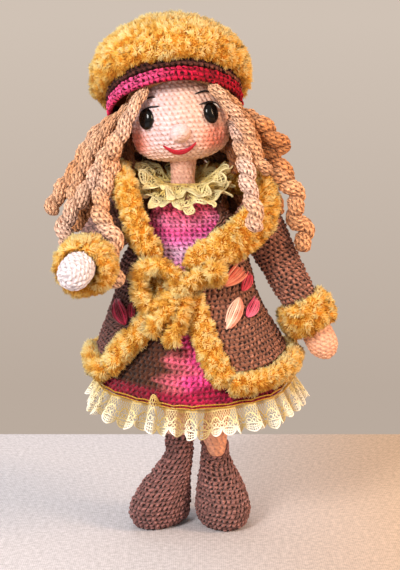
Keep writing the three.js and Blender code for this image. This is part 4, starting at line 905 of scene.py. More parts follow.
places, faces = gather([
    face_thread([(-43, 20.8), (-36, 22.2), (-29.5, 21.8)], 0.55),
    face_thread([(24, 20.6), (30, 22.2), (40, 23.2), (51, 21.8)], 0.6),
    face_thread([(-45, 8.6), (-34, 11.2), (-28, 10.9), (-22.5, 11.4)], 0.6),
    face_thread([(26, 8.6), (33, 9.8), (42, 10.6), (51, 8.4), (58, 3.5)], 0.6),
])
stitches = add_mesh("brow_and_lash_stitches", places, faces, LOOKS["black_thread"])
settle(stitches, "head", "eye_black")
places, faces = gather([face_thread([(46, 8.2), (51.5, 6.2), (55.5, 2.2)], 0.5, out=0.5)])
glint = add_mesh("white_eye_stitch", places, faces, LOOKS["white_thread"])
settle(glint, "head", "skin_yarn")


def mouth_line(drop, out):
    """The smile: a parabola in the face's width, drawn on the head."""
    across = np.linspace(-1, 1, 41)
    x = -1 + across * 9.6
    z = mix(-21.9, -17.1, across**2) - drop
    up = np.degrees(np.arcsin(z / HEAD["high"]))
    about = np.cos(np.radians(up)) * (1 - HEAD["jowl"] * np.sin(np.radians(up)))
    return head_place(np.degrees(np.arcsin(x / (HEAD["wide"] * about))), up, out)


lips = []
for drop, size in ((-0.75, 0.8), (0.15, 0.85), (0.85, 0.65)):
    line = mouth_line(drop * (1 - 0.85 * np.linspace(-1, 1, 41) ** 2), 1.0)
    size = size * mix(0.4, 1, np.sqrt(1 - np.linspace(-1, 1, 41) ** 2))
    lips.append(capped(tube(line, size, size, 8, out=line - HEAD_MIDDLE)))
places, faces = gather(lips)
settle(add_mesh("stitched_smile", places, faces, LOOKS["mouth"]), "head", "red_thread", "mouth")


# Wig cap, behind its sloping hairline

WIG_THICK, WIG_SLOPE, WIG_BELOW = 5.0, 44.5, -0.5


def wig_surface(out):
    """Rounds about the hairline's own axis, from the hairline to the crown of the cap.

    A ray from the head's middle at an angle from that axis meets the head, grown by out, by halving.
    """
    tilt = turn_about_x(-WIG_SLOPE)

    def reach(turn, angle):
        way = spots(np.sin(angle) * np.cos(turn), np.sin(angle) * np.sin(turn), np.cos(angle)) @ tilt.T
        low, high = np.zeros(way.shape[:-1]), np.full(way.shape[:-1], 60.0)
        for _ in range(26):
            middle = (low + high) / 2
            p = way * middle[..., None]
            rise = np.clip(p[..., 2] / (HEAD["high"] + out), -1, 1)
            about = np.sqrt(1 - rise**2) * (1 - HEAD["jowl"] * rise) + 1e-6
            inside = (p[..., 0] / ((HEAD["wide"] + out) * about)) ** 2 + (
                p[..., 1] / ((HEAD["deep"] + out) * about)) ** 2 < 1
            inside &= np.abs(p[..., 2]) < HEAD["high"] + out
            low, high = np.where(inside, middle, low), np.where(inside, high, middle)
        return way * low[..., None]

    def surface(turn, share):
        angles = np.linspace(0.02, 2.4, 160)
        around = np.linspace(0, TAU, 73)
        above = (reach(around[None], angles[:, None]) @ tilt)[..., 2] + WIG_BELOW
        edge = np.array([angles[np.argmax(column < 0)] for column in above.T])
        edge = np.interp(np.mod(turn, TAU), around, edge)
        return reach(turn, mix(0.02, edge, share)) @ HEAD_TURN.T + HEAD_MIDDLE

    return surface


def hair_shade(points, tone):
    """Caramel yarn with painted light and shade: tone goes from painted deep shadow below 0 through
    shadowed golden brown and caramel to lit pale pinkish peach.
    """
    drift = tone + 0.16 * wander(points, 30, 31)
    tint = blend_colours([(-1, (44, 24, 14)), (0, (184, 114, 62)), (0.35, (232, 164, 110)),
                          (0.7, (250, 198, 158)), (1, (252, 212, 190))], drift)
    golden = (smooth(30, 50, points[..., 0]) * smooth(0.75, 0.6, tone))[..., None]
    return tint * mix(np.ones(3), np.array([0.98, 0.9, 0.76]), golden)


def wig_tint(crochet):
    """Shadowed low down beside the face, and the hair's own caramel at the back."""
    tone = mix(-0.6, 0.3, smooth(235, 262, crochet.base[..., 2]))
    return hair_shade(crochet.base, mix(tone, 0.32, smooth(2, 16, crochet.base[..., 1]))) * own_tone(crochet)


wig_skin = Crochet(wig_surface(WIG_THICK - 0.4), steps=4, depth=1.0, seed=3)
wig = knitted_sheet("crocheted_wig_cap", wig_skin, WIG_THICK - 1, LOOKS["hair"], wig_tint)
settle(wig, "head", "caramel_yarn", "wig_cap")


# Hair: corkscrew strips of crochet round the imported strands' middle lines, with thinner ones between them.
# Each strand is its size at the root and the tip, its tone, and its places in mm from the head's middle.
# The tone paints the strand's light and shade; strands with a tone below 0 are dark fillers painted as
# shadow between the others.
STRANDS = {
    "hair_right_front": [
        (0.72, 1.0, 0.72, [[-19, -23.6, 17.5], [-24.5, -26.2, 8], [-29.5, -27, -1], [-36, -26, -15],
            [-45, -21, -28], [-53, -15, -42], [-64, -14, -56], [-70, -16, -68], [-68, -20, -80]]),
        (0.66, 0.8, 0.62, [[-29, -19, 6], [-41, -20, -6], [-50, -17, -18], [-57, -14, -30], [-63, -10, -42],
            [-66, -10, -54]]),
    ],
    "hair_right_outer": [
        (0.8, 0.95, 0.6, [[-30, -5, -2], [-41, -7, -4], [-50, -8, -12], [-58, -6, -24], [-66, -5, -38],
            [-75, -4, -50], [-80, -5, -62]]),
        (0.66, 0.75, 0.45, [[-31, -2, -10], [-42, -4, -18], [-49, -4, -32], [-53, -4, -46], [-56, -6, -58]]),
    ],
    "hair_right_inner": [
        (0.74, 1.0, 0.66, [[-28, 0, -6], [-38, -8, -16], [-40, -20, -32], [-46, -30, -48], [-45, -42, -62],
            [-37, -50, -74], [-41, -52, -86], [-34, -55, -100]]),
        (0.66, 0.78, 0.5, [[-27, -12, 2], [-36, -17, -8], [-42, -18, -20], [-41, -16, -33],
            [-44, -18, -46]]),
        (0.62, 0.62, -0.5, [[-27, 10, -8], [-31, 4, -20], [-31, 0, -30], [-33, -4, -38]]),
    ],
    "hair_right_side": [
        (0.85, 1.0, 0.35, [[-27, 12, -10], [-40, 10, -15], [-50, 7, -28], [-56, 7, -44], [-62, 10, -60],
            [-66, 14, -74]]),
        (0.8, 0.9, 0.25, [[-24, 16, -14], [-36, 22, -22], [-44, 24, -36], [-50, 26, -52], [-53, 28, -66]]),
    ],
    "hair_left_front": [
        (0.8, 0.74, 0.66, [[18.5, -23.2, 19], [30.5, -26, 5], [39.5, -24, -7], [44, -23, -16],
            [48, -23, -27], [55, -22, -36]]),
        (0.68, 0.62, 0.4, [[25, -18.5, 15], [35, -17.5, 5], [43, -14, -7], [47, -12, -18], [50, -14, -28]]),
    ],
    "hair_left_inner": [
        (0.7, 0.95, 0.92, [[29, -2, -4], [34, -12, -8], [37, -21, -18], [40, -32, -30], [42, -42, -44],
            [45, -48, -56], [45, -52, -68]]),
        (0.62, 0.62, -0.5, [[27, 8, -6], [31, 2, -16], [33, 0, -27], [35, -2, -37]]),
    ],
    "hair_left_upper": [
        (0.8, 1.0, 0.36, [[29, 0, 1], [41, -3, -1], [51, -6, -7], [60, -6, -16], [68, -5, -22]]),
    ],
    "hair_left_middle": [
        (0.75, 0.9, 0.5, [[28, 11, -6], [40, 6, -13], [52, 0, -22], [62, -2, -31], [70, -2, -42]]),
        (0.7, 0.7, 0.3, [[30, 4, 3], [40, 3, -5], [50, 2, -14], [57, 2, -24], [62, 2, -34]]),
    ],
    "hair_left_outer": [
        (0.75, 1.0, 0.6, [[25, 17, -15], [37, 10, -23], [48, 0, -31], [58, -8, -37], [66, -8, -42],
            [73, -6, -50], [71, -6, -62], [78, -8, -72], [74, -10, -84]]),
        (0.8, 0.9, 0.25, [[24, 16, -14], [38, 18, -24], [50, 16, -38], [59, 15, -52], [64, 16, -64]]),
    ],
    "hair_back_right": [
        (0.85, 1.0, 0.4, [[-17, 17, -22], [-26, 32, -27], [-34, 44, -38], [-40, 50, -52], [-42, 50, -67],
            [-42, 49, -82]]),
        (0.85, 0.95, 0.3, [[-12, 20, -24], [-19, 34, -28], [-25, 46, -38], [-28, 51, -54], [-29, 51, -70],
            [-30, 50, -84]]),
        (0.85, 1.0, 0.2, [[-22, 12, -18], [-36, 26, -24], [-48, 33, -36], [-55, 35, -50], [-58, 35, -66],
            [-58, 34, -80]]),
        (1.1, 1.1, -0.8, [[-22, 14, -12], [-28, 22, -21], [-27, 28, -34], [-23, 33, -46], [-22, 36, -60],
            [-22, 37, -72]]),
        (1.1, 1.1, -0.8, [[-8, 22, -24], [-12, 30, -36], [-13, 33, -46], [-13, 34, -58]]),
    ],
    "hair_back_right_middle": [
        (0.85, 1.0, 0.36, [[-6, 22, -24], [-10, 38, -28], [-14, 50, -40], [-16, 53, -54], [-16, 52, -70],
            [-18, 51, -88]]),
        (0.8, 0.9, 0.28, [[0, 23, -25], [0, 38, -29], [0, 49, -40], [0, 53, -55], [1, 53, -70],
            [-1, 52, -84]]),
    ],
    "hair_back_left_middle": [
        (0.85, 1.0, 0.42, [[6, 22, -24], [11, 38, -28], [15, 50, -40], [16, 53, -54], [18, 52, -70],
            [16, 51, -90]]),
    ],
    "hair_back_left": [
        (0.85, 1.0, 0.4, [[17, 17, -22], [28, 32, -27], [38, 43, -38], [44, 48, -52], [46, 48, -66],
            [48, 47, -80]]),
        (0.85, 0.95, 0.3, [[12, 20, -24], [20, 34, -28], [27, 46, -38], [31, 51, -54], [32, 51, -70],
            [32, 50, -84]]),
        (0.85, 1.0, 0.3, [[22, 12, -18], [35, 25, -24], [46, 32, -36], [53, 34, -50], [56, 34, -66],
            [56, 33, -80]]),
        (1.1, 1.1, -0.8, [[20, 20, -20], [32, 28, -34], [36, 33, -46], [37, 36, -60], [37, 37, -72]]),
        (1.1, 1.1, -0.8, [[6, 22, -24], [13, 30, -36], [19, 33, -46], [22, 35, -60], [22, 36, -70]]),
    ],
}
CURL_PITCH = 13.0
CURL_CORE, CURL_OUT = 3.2, 2.7
CURL_STITCHES = 10
CURL_ROWS = 4
CURL_STEP = 0.85


def corkscrew(points, root, tip, tone, seed):
    """A strip of crochet wound about a line: its radius swells once in each pitch along a spiral groove, and
    stitches lie side by side along the strip. It thins and lies flatter towards its root."""
    line, share = smooth_line(points, CURL_STEP)
    _, side, thin = frames(line)
    around = CURL_STITCHES * 4
    turn = TAU * np.arange(around) / around
    size = mix(root, tip, smooth(0, 0.45, share))[:, None]
    start = chance(seed, 3)
    wound = CURL_STEP * np.arange(len(line)) / CURL_PITCH
    phase = turn[None] / TAU - wound[:, None] + start
    strip = np.mod(phase, 1)
    swell = np.sin(np.pi * strip) ** 0.7
    rows = strip * CURL_ROWS
    own_row = np.minimum(rows.astype(int), CURL_ROWS - 1) + CURL_ROWS * np.floor(phase)
    across = (turn[None] / TAU - np.floor(phase)) * CURL_STITCHES + 0.5 * own_row
    up = np.mod(rows, 1)
    height = stitch_height(np.mod(across + LEAN * (up - 0.5), 1) - 0.5, up)
    own = chance(own_row, np.floor(across), seed)
    even = 1 + 0.06 * wander(line, 14, seed)[:, None]
    ends = round_ends(line, 4.5)[:, None]
    out = CURL_OUT * mix(0.55, 1, smooth(0.1, 0.5, share))[:, None]
    radius = size * ends * even * (CURL_CORE + out * swell + 1.2 * (height * (0.7 + 0.6 * own) - 0.6))
    ways = side[:, None] * np.cos(turn)[:, None] + thin[:, None] * np.sin(turn)[:, None]
    grid = line[:, None] + ways * radius[..., None]
    places, faces = capped(grid)
    tint = hair_shade(grid, tone) * (1 + 0.1 * (2 * own - 1))[..., None]
    # Painted shade in the spiral groove, where the strip's swell is low.
    tint = with_ends(tint * mix(0.5, 1, smooth(0, 0.45, swell))[..., None])
    relief = np.concatenate([(height * smooth(0, 0.35, swell)).ravel(), [0.6, 0.6]])
    # Stitch and row numbers at each corner of a face, counted on from its first corner's own turn and row.
    own_turn = np.floor(phase[:-1])

    def corner(row_step, column_step):
        angle = (np.arange(around) + column_step) / around
        on = angle[None] - wound[row_step: len(line) - 1 + row_step][:, None] + start - own_turn
        stitch_at = (angle[None] - own_turn) * CURL_STITCHES + 0.5 * own_row[:-1]
        return np.stack([stitch_at, on * CURL_ROWS], axis=-1)

    uv = np.stack([corner(0, 0), corner(0, 1), corner(1, 1), corner(1, 0)], axis=2).reshape(-1, 4, 2)
    return places, faces, [uv, np.full((len(faces[1]), 3, 2), 0.5)], tint, relief


for number, (node, strands) in enumerate(STRANDS.items()):
    made = [corkscrew(HEAD_MIDDLE + np.array(points), root, tip, tone, 1 + number + 20 * k)
            for k, (root, tip, tone, points) in enumerate(strands)]
    places, faces = gather([(one[0], one[1]) for one in made])
    curls = add_mesh(node.replace("hair_", "curls_"), places, faces, LOOKS["hair"],
                     [np.concatenate([one[2][k] for one in made]) for k in (0, 1)],
                     np.concatenate([one[3] for one in made]), np.concatenate([one[4] for one in made]))
    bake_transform(curls)
    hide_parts(node)


# Fluffy yarn: a lumpy body under tufts of pile

# The fluffy yarn's gold, from painted deep shade to painted highlight.
FLUFF_SHADE_TO_HIGHLIGHT = [(0, (158, 82, 10)), (0.3, (226, 146, 36)), (0.65, (254, 206, 96)), (1, (255, 240, 178))]
TUFT = 4.6


def fluffy(name, shapes, seed, per_mm2=2.3, long=3.0, droop=0.2, lump=1.1, lump_size=6.5, skip=None,
           light=0.0):
    """Fluffy yarn over closed shapes: a lumpy skin under evenly spread spikes of pile. Smooth noise
    gathers them into tufts that share a lean, a length and a tone. The tone is painted light and shade:
    painted shade in the skin's dips and at the spikes' feet, painted highlights on their tips, on lumps
    and on faces turned up, and light adds painted light to the whole piece. A spike is a closed
    three-sided point, and its shading follows the skin, as on soft pile."""
    draw = np.random.default_rng(seed)
    places, faces = gather(shapes)
    corners = np.concatenate([face[:, [0, k, k + 1]] for face in faces for k in range(1, face.shape[1] - 1)])
    a, b, c = (places[corners[:, k]] for k in range(3))
    ways = np.cross(b - a, c - a)
    if (a * np.cross(b, c)).sum() < 0:
        ways = -ways
        faces = [face[:, ::-1] for face in faces]
    area = np.linalg.norm(ways, axis=1) / 2
    out = np.zeros_like(places)
    for k in range(3):
        np.add.at(out, corners[:, k], ways)
    out = unit(out)
    bulge = wander(places, lump_size, seed) * 0.6 + wander(places, lump_size * 0.55, seed + 1) * 0.4
    places = places + out * (bulge * lump)[:, None]
    # The skin is painted darker in its dips as painted shade.
    skin_tint_and_light = blend_colours(FLUFF_SHADE_TO_HIGHLIGHT, np.clip(0.1 + 0.15 * bulge, 0, 0.3))

    # One spike to each equal share of the area, counted face by face, so that no place stays bare.
    count = int(area.sum() * per_mm2)
    picks = (np.arange(count) + draw.random(count)) / count * area.sum() * 0.9999
    which = np.searchsorted(np.cumsum(area), picks)
    s, t = draw.random(count), draw.random(count)
    flip = s + t > 1
    s, t = np.where(flip, 1 - s, s)[:, None], np.where(flip, 1 - t, t)[:, None]
    a, b, c = (places[corners[which, k]] for k in range(3))
    foot = a + (b - a) * s + (c - a) * t
    shares = (1 - s - t, s, t)
    up = unit(sum(out[corners[which, k]] * share for k, share in enumerate(shares)))
    bulge_at = sum(bulge[corners[which, k]] * share[:, 0] for k, share in enumerate(shares))
    if skip is not None:
        keep = ~skip(foot, up)
        foot, up, bulge_at, count = foot[keep], up[keep], bulge_at[keep], int(keep.sum())
    # Painted light and shade: lighter on lumps, on tufts and on faces turned up, and by the piece's light.
    tone = 0.46 + 0.3 * bulge_at + 0.36 * wander(foot, TUFT, seed + 7) + 0.08 * wander(foot, 16, seed + 8)
    tone = tone + 0.2 * (up[:, 2] - 0.2) + light
    tone = np.clip(tone + draw.normal(0, 0.1, count), 0, 1)
    lean = np.stack([wander(foot, TUFT, seed + k) for k in (3, 4, 5)], axis=1) * 0.5
    way = unit(up + lean + draw.normal(0, 0.22, (count, 3)) + np.array([0, 0, -droop]))
    reach = long * mix(0.55, 1.1, tone) * draw.uniform(0.75, 1.15, count)
    foot = foot - up * 0.5
    tip = foot + way * (reach + 0.5)[:, None]
    girth = draw.uniform(0.42, 0.68, count)[:, None]
    first_side = unit(np.cross(way, draw.normal(size=way.shape)))
    second = np.cross(way, first_side)
    feet = [foot + girth * (first_side * np.cos(k) + second * np.sin(k)) for k in (0, TAU / 3, 2 * TAU / 3)]
    spikes = np.stack([*feet, tip], axis=1).reshape(-1, 3)
    first = len(places) + 4 * np.arange(count)[:, None, None]
    points = (first + np.array([[0, 1, 3], [1, 2, 3], [2, 0, 3], [2, 1, 0]])).reshape(-1, 3)
    # Painted shade at the feet of the spikes and painted highlights at their tips.
    foot_shade_tint = blend_colours(FLUFF_SHADE_TO_HIGHLIGHT, 0.02 + 0.5 * tone)
    tip_highlight_tint = blend_colours(FLUFF_SHADE_TO_HIGHLIGHT, 0.36 + 0.66 * tone)
    spike_tint = np.stack([foot_shade_tint] * 3 + [tip_highlight_tint], axis=1).reshape(-1, 3)
    soft = np.concatenate([out, np.repeat(unit(up + 0.5 * way + draw.normal(0, 0.25, way.shape)), 4, axis=0)])
    return add_mesh(name, np.concatenate([places, spikes]), [*faces, points], LOOKS["fluff"],
                    tint=np.concatenate([skin_tint_and_light, spike_tint]), soft=soft)


def fluff_tube(line, wide, thick, around=18, out=None):
    ends = round_ends(line, min(np.min(wide), np.min(thick)) if np.ndim(wide) else min(wide, thick))
    return capped(tube(line, wide * ends, thick * ends, around, out))


# Hat

def hat_band(name, low, high, look, tint, seed, row=ROUND, slot="pink_yarn", node=None, bulge=1.4):
    """A crocheted ring of the hat, fuller at the middle of its height, with a plain inside."""
    def surface(turn, share):
        swell = bulge * (1 - (2 * share - 1) ** 4) - bulge
        return hat_place(turn, mix(low, high, share), HAT["ring_wide"] + swell, HAT["ring_deep"] + swell)

    skin = Crochet(surface, steps=6, depth=1.5, seed=seed, row=row, middle=0.75, waver=0.3)
    piece = knitted_sheet(name, skin, 2.2, look, tint)
    return settle(piece, "hat", slot, node)


def band_tint(crochet):
    """Bright pink at the doll's right and in the upper rounds, crimson at its left and in the lower ones."""
    local = (crochet.base - HAT_MIDDLE) @ HAT_TURN
    share = smooth(-26, 30, local[..., 0]) * 0.62 + 0.38 * smooth(7, 0, local[..., 2])
    back = smooth(-6, 12, local[..., 1])
    share = mix(share, 0.5 + 0.4 * np.sin(3 * np.arctan2(local[..., 1], local[..., 0])), back * 0.8)
    tint = blend_colours([(0, (250, 92, 152)), (0.35, (198, 26, 68)), (0.65, (170, 10, 36)),
                          (1, (156, 8, 20))], share)
    return tint * own_tone(crochet, 0.14)


def brown_tint(crochet):
    local = (crochet.base - HAT_MIDDLE) @ HAT_TURN
    share = smooth(-20, 34, local[..., 0]) * smooth(15, 8, local[..., 2])
    tint = blend_colours([(0, (84, 44, 38)), (0.5, (150, 88, 66)), (1, (226, 146, 112))], share)
    return tint * own_tone(crochet, 0.1)


pink_rounds = hat_band("hat_pink_rounds", HAT["low"] + 1.6, HAT["pink_high"] + 2.2, LOOKS["band"],
                       band_tint, 41, row=3.2, node="hat_band_pink")
brown_rounds = hat_band("hat_brown_rounds", HAT["pink_high"] + 1.7, HAT["brown_high"] + 1, LOOKS["brown"],
                        brown_tint, 42, slot="brown_yarn", node="hat_band_brown", bulge=0.9)


CROWN_PILE = 2.2
CROWN_ASIDE = -1.4


def crown_shape():
    """The crown's dome over its hollow. Both are half eggs on the hat's axis, joined at the low rim. The
    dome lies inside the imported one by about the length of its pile."""
    outer_shares = np.array([0, 0.02, 0.06, 0.14, *np.linspace(0.24, 1, 22)])
    rise = mix(-0.32, np.pi / 2 - 0.02, outer_shares)
    wide, deep = ((HAT[key] - CROWN_PILE) * np.cos(rise) for key in ("crown_wide", "crown_deep"))
    up = HAT["middle"] + (HAT["high"] + 0.2 * CROWN_PILE) * np.sin(rise)
    start = HAT["brown_high"] + GAP
    near = smooth(0.1, 0.0, outer_shares)
    wide, deep, up = (mix(value, low, near) for value, low in ((wide, 42.4), (deep, 40.6), (up, start)))
    turn = TAU * np.arange(90) / 90
    aside = CROWN_ASIDE * smooth(start, HAT["middle"], up)
    outer = hat_place(turn[None], up[:, None], wide[:, None], deep[:, None], aside[:, None])
    inner_rise = np.linspace(0, np.pi / 2 - 0.05, 10)
    inside = [HAT["crown_wide"] - HAT["wall"], HAT["crown_deep"] - HAT["wall"]]
    top = HAT["high"] - HAT["wall"]
    most = HAT["inside_wide"], HAT["inside_deep"]
    rows = [(*most, start + GAP)] + [
        (min(most[0], inside[0] * np.cos(r)), min(most[1], inside[1] * np.cos(r)),
         HAT["middle"] + top * np.sin(r)) for r in inner_rise]
    inner = np.stack([hat_place(turn, up, wide, deep, 2.1) for wide, deep, up in rows])
    return capped(np.concatenate([inner[::-1], outer]))


def inside_hat(foot, up):
    """True for the faces that look into the hat's hollow, which have no pile."""
    local, way = (foot - HAT_MIDDLE) @ HAT_TURN, up @ HAT_TURN
    flat = np.stack([local[:, 0] / HAT["crown_wide"], local[:, 1] / HAT["crown_deep"],
                     (local[:, 2] - HAT["middle"]) / HAT["high"]], axis=1)
    return (flat * way).sum(axis=1) < 0.1


crown = fluffy("fluffy_crown", [crown_shape()], 50, per_mm2=2.6, long=2.9, lump=1.7, lump_size=8.5,
               skip=inside_hat, light=0.03)
settle(crown, "hat", "fluffy_yarn", "hat_crown")


# Torso, legs and boots

def body_tint(crochet):
    # Painted warm light towards the doll's left.
    warm = smooth(-14, 20, crochet.base[..., 0])[..., None]
    return mix(colour(216, 172, 152), colour(212, 158, 126), warm) * own_tone(crochet, 0.05)


def torso_surface(turn, share):
    z = mix(HEIGHTS["foot"], HEIGHTS["neck_top"], share)
    half = follow(TORSO_ROWS, z)
    return spots(lean_at(z) + half[..., 0] * np.cos(turn), half[..., 1] * np.sin(turn), z)


torso_skin = Crochet(torso_surface, steps=2, depth=0.5, seed=60, middle=0.9)
torso = settle(stuffed("crocheted_body", torso_skin, LOOKS["skin"], body_tint), "torso", "skin_yarn", "torso")

LEG = dict(stand=11.4, hip=15, middle=6.1, back=1.5)
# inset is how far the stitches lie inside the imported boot, and dip how deep the left rim dips in front.
BOOT = dict(ahead=11, inset=1.3, dip=8.5)
FEET = {
    -1: dict(name="right", x=LEG["middle"] - LEG["stand"], heading=-33, height=56, out=-5.9),
    1: dict(name="left", x=LEG["middle"] + LEG["stand"], heading=11, height=51, out=2.7),
}
FOOT_ROWS = [
    [0, 13.5, 19.5, 11], [3.9, 17.1, 23.75, 11], [13, 18.4, 25, 11], [24.7, 16.2, 20, 7.9],
    [33.4, 13.2, 14.5, 4], [43, 10.5, 10.5, 0],
]


def boot_place(side, turn, z, grow):
    """A place round a boot at a height: an ellipse that lies ahead of the leg, turned by its heading."""
    foot = FEET[side]
    rows = follow(FOOT_ROWS, z)
    wide, long, ahead = (rows[..., k] for k in range(3))
    heading = np.radians(foot["heading"])
    across = (wide + grow) * np.cos(turn)
    along = ahead + (long + grow) * np.sin(turn)
    aside = foot["x"] + foot["out"] * ahead / BOOT["ahead"]
    return spots(aside + across * np.cos(heading) + along * np.sin(heading),
                 LEG["back"] + across * np.sin(heading) - along * np.cos(heading), z)


def boot_surface(side):
    """From the middle of the sole out over its edge, and up the shaft to the rim. The left rim dips in
    front."""
    top = FEET[side]["height"]
    heights = np.concatenate([[0.0, 0.0, 0.25], np.linspace(1.2, top, 40)])
    part = np.concatenate([[0.03, 0.93, 0.985], np.ones(40)])
    walk = np.concatenate([[0], np.cumsum(np.hypot(np.diff(heights), np.diff(part) * 20))])
    where = walk / walk[-1]

    def surface(turn, share):
        z = np.interp(share, where, heights)
        edge = boot_place(side, turn, z, -BOOT["inset"])
        middle = edge.mean(axis=1, keepdims=True)
        found = middle + (edge - middle) * np.interp(share, where, part)[..., None]
        if side > 0:
            ahead = np.mod(turn - 0.5 * np.pi + np.pi, TAU) - np.pi
            found[..., 2] -= BOOT["dip"] * smooth(34, 51, z) * np.exp(-(ahead / 0.95) ** 4)
        return found

    return surface


def boot_tint(crochet):
    z = crochet.base[..., 2]
    # Painted warm light, slight, towards the doll's left.
    warm = smooth(-20, 40, crochet.base[..., 0])[..., None]
    tint = mix(colour(152, 104, 100), colour(154, 106, 98), warm)
    # Painted shade, darker towards the sole near the table.
    tint = tint * mix(0.84, 1.05, smooth(0, 30, z))[..., None]
    return tint * (1 + 0.05 * wander(crochet.base, 14, 70))[..., None] * own_tone(crochet, 0.1)


def leg_surface(side):
    """The stuffed foot inside the boot, then the leg up to the body."""
    foot = FEET[side]
    hip = 6 + side * LEG["hip"]
    rows = [[33, foot["x"], LEG["back"], 7.2], [43, foot["x"], LEG["back"], 7.5],
            [56, foot["x"], LEG["back"], 7.5], [70, mix(foot["x"], hip, 0.45), LEG["back"], 7.8],
            [88, hip, 0, 8.6]]

    def surface(turn, share):
        z = mix(4.9, 88, share)
        low = boot_place(side, turn, np.minimum(z, 43), -4)
        table = follow(rows, np.maximum(z, 33))
        high = spots(table[..., 0] + table[..., 2] * np.cos(turn),
                     table[..., 1] + table[..., 2] * np.sin(turn), z)
        low[..., 2] = high[..., 2]
        return mix(low, high, smooth(31, 38, z)[..., None])

    return surface


def leg_tint(crochet):
    # Painted warm light towards the doll's left.
    warm = smooth(0, 22, crochet.base[..., 0])[..., None]
    return mix(colour(226, 178, 156), colour(236, 166, 128), warm) * own_tone(crochet, 0.07)


for side, foot in FEET.items():
    name = foot["name"]
    leg_skin = Crochet(leg_surface(side), steps=3, depth=0.5, seed=62 + side, middle=0.9)
    leg = settle(stuffed(f"crocheted_{name}_leg", leg_skin, LOOKS["skin"], leg_tint), "torso", "skin_yarn",
                 f"{name}_leg")
    boot_skin = Crochet(boot_surface(side), steps=6, depth=1.35, seed=66 + side, middle=0.9, waver=0.6)
    # The sole's stitches are pressed flat on the table.
    boot_skin.grid[..., 2] = np.maximum(boot_skin.grid[..., 2], 0)
    boot = knitted_sheet(f"crocheted_{name}_boot", boot_skin, 2.2, LOOKS["boots"], boot_tint, pole=True)
    settle(boot, "torso", "boot_yarn", f"{name}_boot")


# Dress

def bodice_surface(turn, share):
    return cloth_place(turn, mix(HEIGHTS["waist"] + GAP, 204, share), 0)


def bodice_tint(crochet):
    """Pink rounds, with a painted highlight of lilac-white across the middle, and crimson-pink ones above
    and below.
    """
    z = crochet.base[..., 2]
    turn = np.arctan2(crochet.base[..., 1], crochet.base[..., 0])
    shift = 1.8 * np.sin(3 * turn + 0.6)
    tint = blend_colours([(150, (236, 50, 100)), (160, (252, 76, 140)), (166, (255, 120, 190)),
                          (172, (255, 176, 222)), (177, (255, 206, 234)), (182, (255, 134, 200)),
                          (188, (255, 90, 164)), (193, (255, 136, 180)), (200, (250, 96, 134))], z + shift)
    return tint * own_tone(crochet, 0.12)


bodice_skin = Crochet(bodice_surface, steps=5, depth=1.2, seed=80, middle=0.85)
bodice = settle(knitted_sheet("crocheted_bodice", bodice_skin, 2.0, LOOKS["dress"], bodice_tint), "torso",
                "pink_yarn", "dress_bodice")


def skirt_surface(turn, share):
    return cloth_place(turn, mix(HEIGHTS["waist"], dress_hem(turn), share), 0)


def skirt_tint(crochet):
    """Long runs of one yarn: beige-brown at the doll's right, pink and magenta ahead, wine in the last
    rounds."""
    base = crochet.base
    turn = np.mod(np.degrees(np.arctan2(base[..., 1], base[..., 0])), 360)
    level = crochet.shares[:, None] * np.ones_like(turn)
    drift = turn + 5 * np.sin(crochet.round[:, None] * 1.7) + 5 * wander(base, 16, 82)
    upper = blend_colours([(0, (196, 64, 104)), (60, (88, 52, 32)), (150, (90, 54, 32)), (232, (78, 44, 26)),
                           (251, (100, 54, 36)), (258, (190, 96, 98)), (267, (255, 110, 140)),
                           (276, (255, 82, 158)), (292, (255, 54, 126)), (316, (206, 38, 90)),
                           (360, (196, 64, 104))], np.mod(drift, 360))
    lower = blend_colours([(0, (176, 30, 64)), (200, (150, 26, 50)), (252, (154, 22, 52)),
                           (272, (190, 30, 76)), (300, (184, 26, 72)), (330, (142, 20, 48)),
                           (360, (176, 30, 64))], np.mod(drift, 360))
    tint = mix(upper, lower, smooth(0.83, 0.9, level + 0.07 * smooth(262, 285, turn))[..., None])
    spot = np.linalg.norm((base - np.array([-9.5, -45, 131])) * np.array([1, 0.4, 0.55]), axis=-1)
    tint = mix(tint, colour(128, 22, 48), (smooth(7, 4, spot) * 0.9)[..., None])
    return tint * own_tone(crochet, 0.12)


skirt_skin = Crochet(skirt_surface, steps=5, depth=1.3, seed=81, middle=0.85)
skirt = settle(knitted_sheet("crocheted_skirt", skirt_skin, 1.9, LOOKS["dress"], skirt_tint), "torso",
               "variegated_yarn", "dress_skirt")


# Braid and lace

LACE_WAVES = 28


def lace_phase(turn):
    """The pleats' phase: they come at uneven steps round the hem."""
    return (LACE_WAVES * turn + 1.5 * np.sin(3 * turn + 0.4) + 1.1 * np.sin(7 * turn)
            + 0.5 * np.sin(13 * turn + 2))


def gathers(turn):
    return np.sin(lace_phase(turn))


# The lace's top edge stands up in a fold over the braid, on the pleat nearest to here.
near = np.radians(np.linspace(245, 259, 200))
FOLD_TURN = near[np.argmax(gathers(near))]

turn = np.linspace(0, TAU, 900, endpoint=False)
cords = []
for above, out, seed in ((2.0, 1.1, 0), (0.3, 1.4, 1)):
    wave = np.abs(np.sin(lace_phase(turn) / 2 - np.pi / 4)) ** 0.7
    line = cloth_place(turn, dress_hem(turn) + above - 0.5 + 0.9 * wave, GAP + out + 0.4 * wave)
    size = 0.44 * (1 + 0.12 * np.sin(240 * turn + seed))
    cords.append(capped(tube(line, size, size, 6, out=np.tile([0.0, 0, 1], (len(turn), 1)), closed=True),
                        closed_line=True))
places, faces = gather(cords)
settle(add_mesh("gold_cords", places, faces, LOOKS["gold"]), "torso", "gold_thread", "gold_braid")


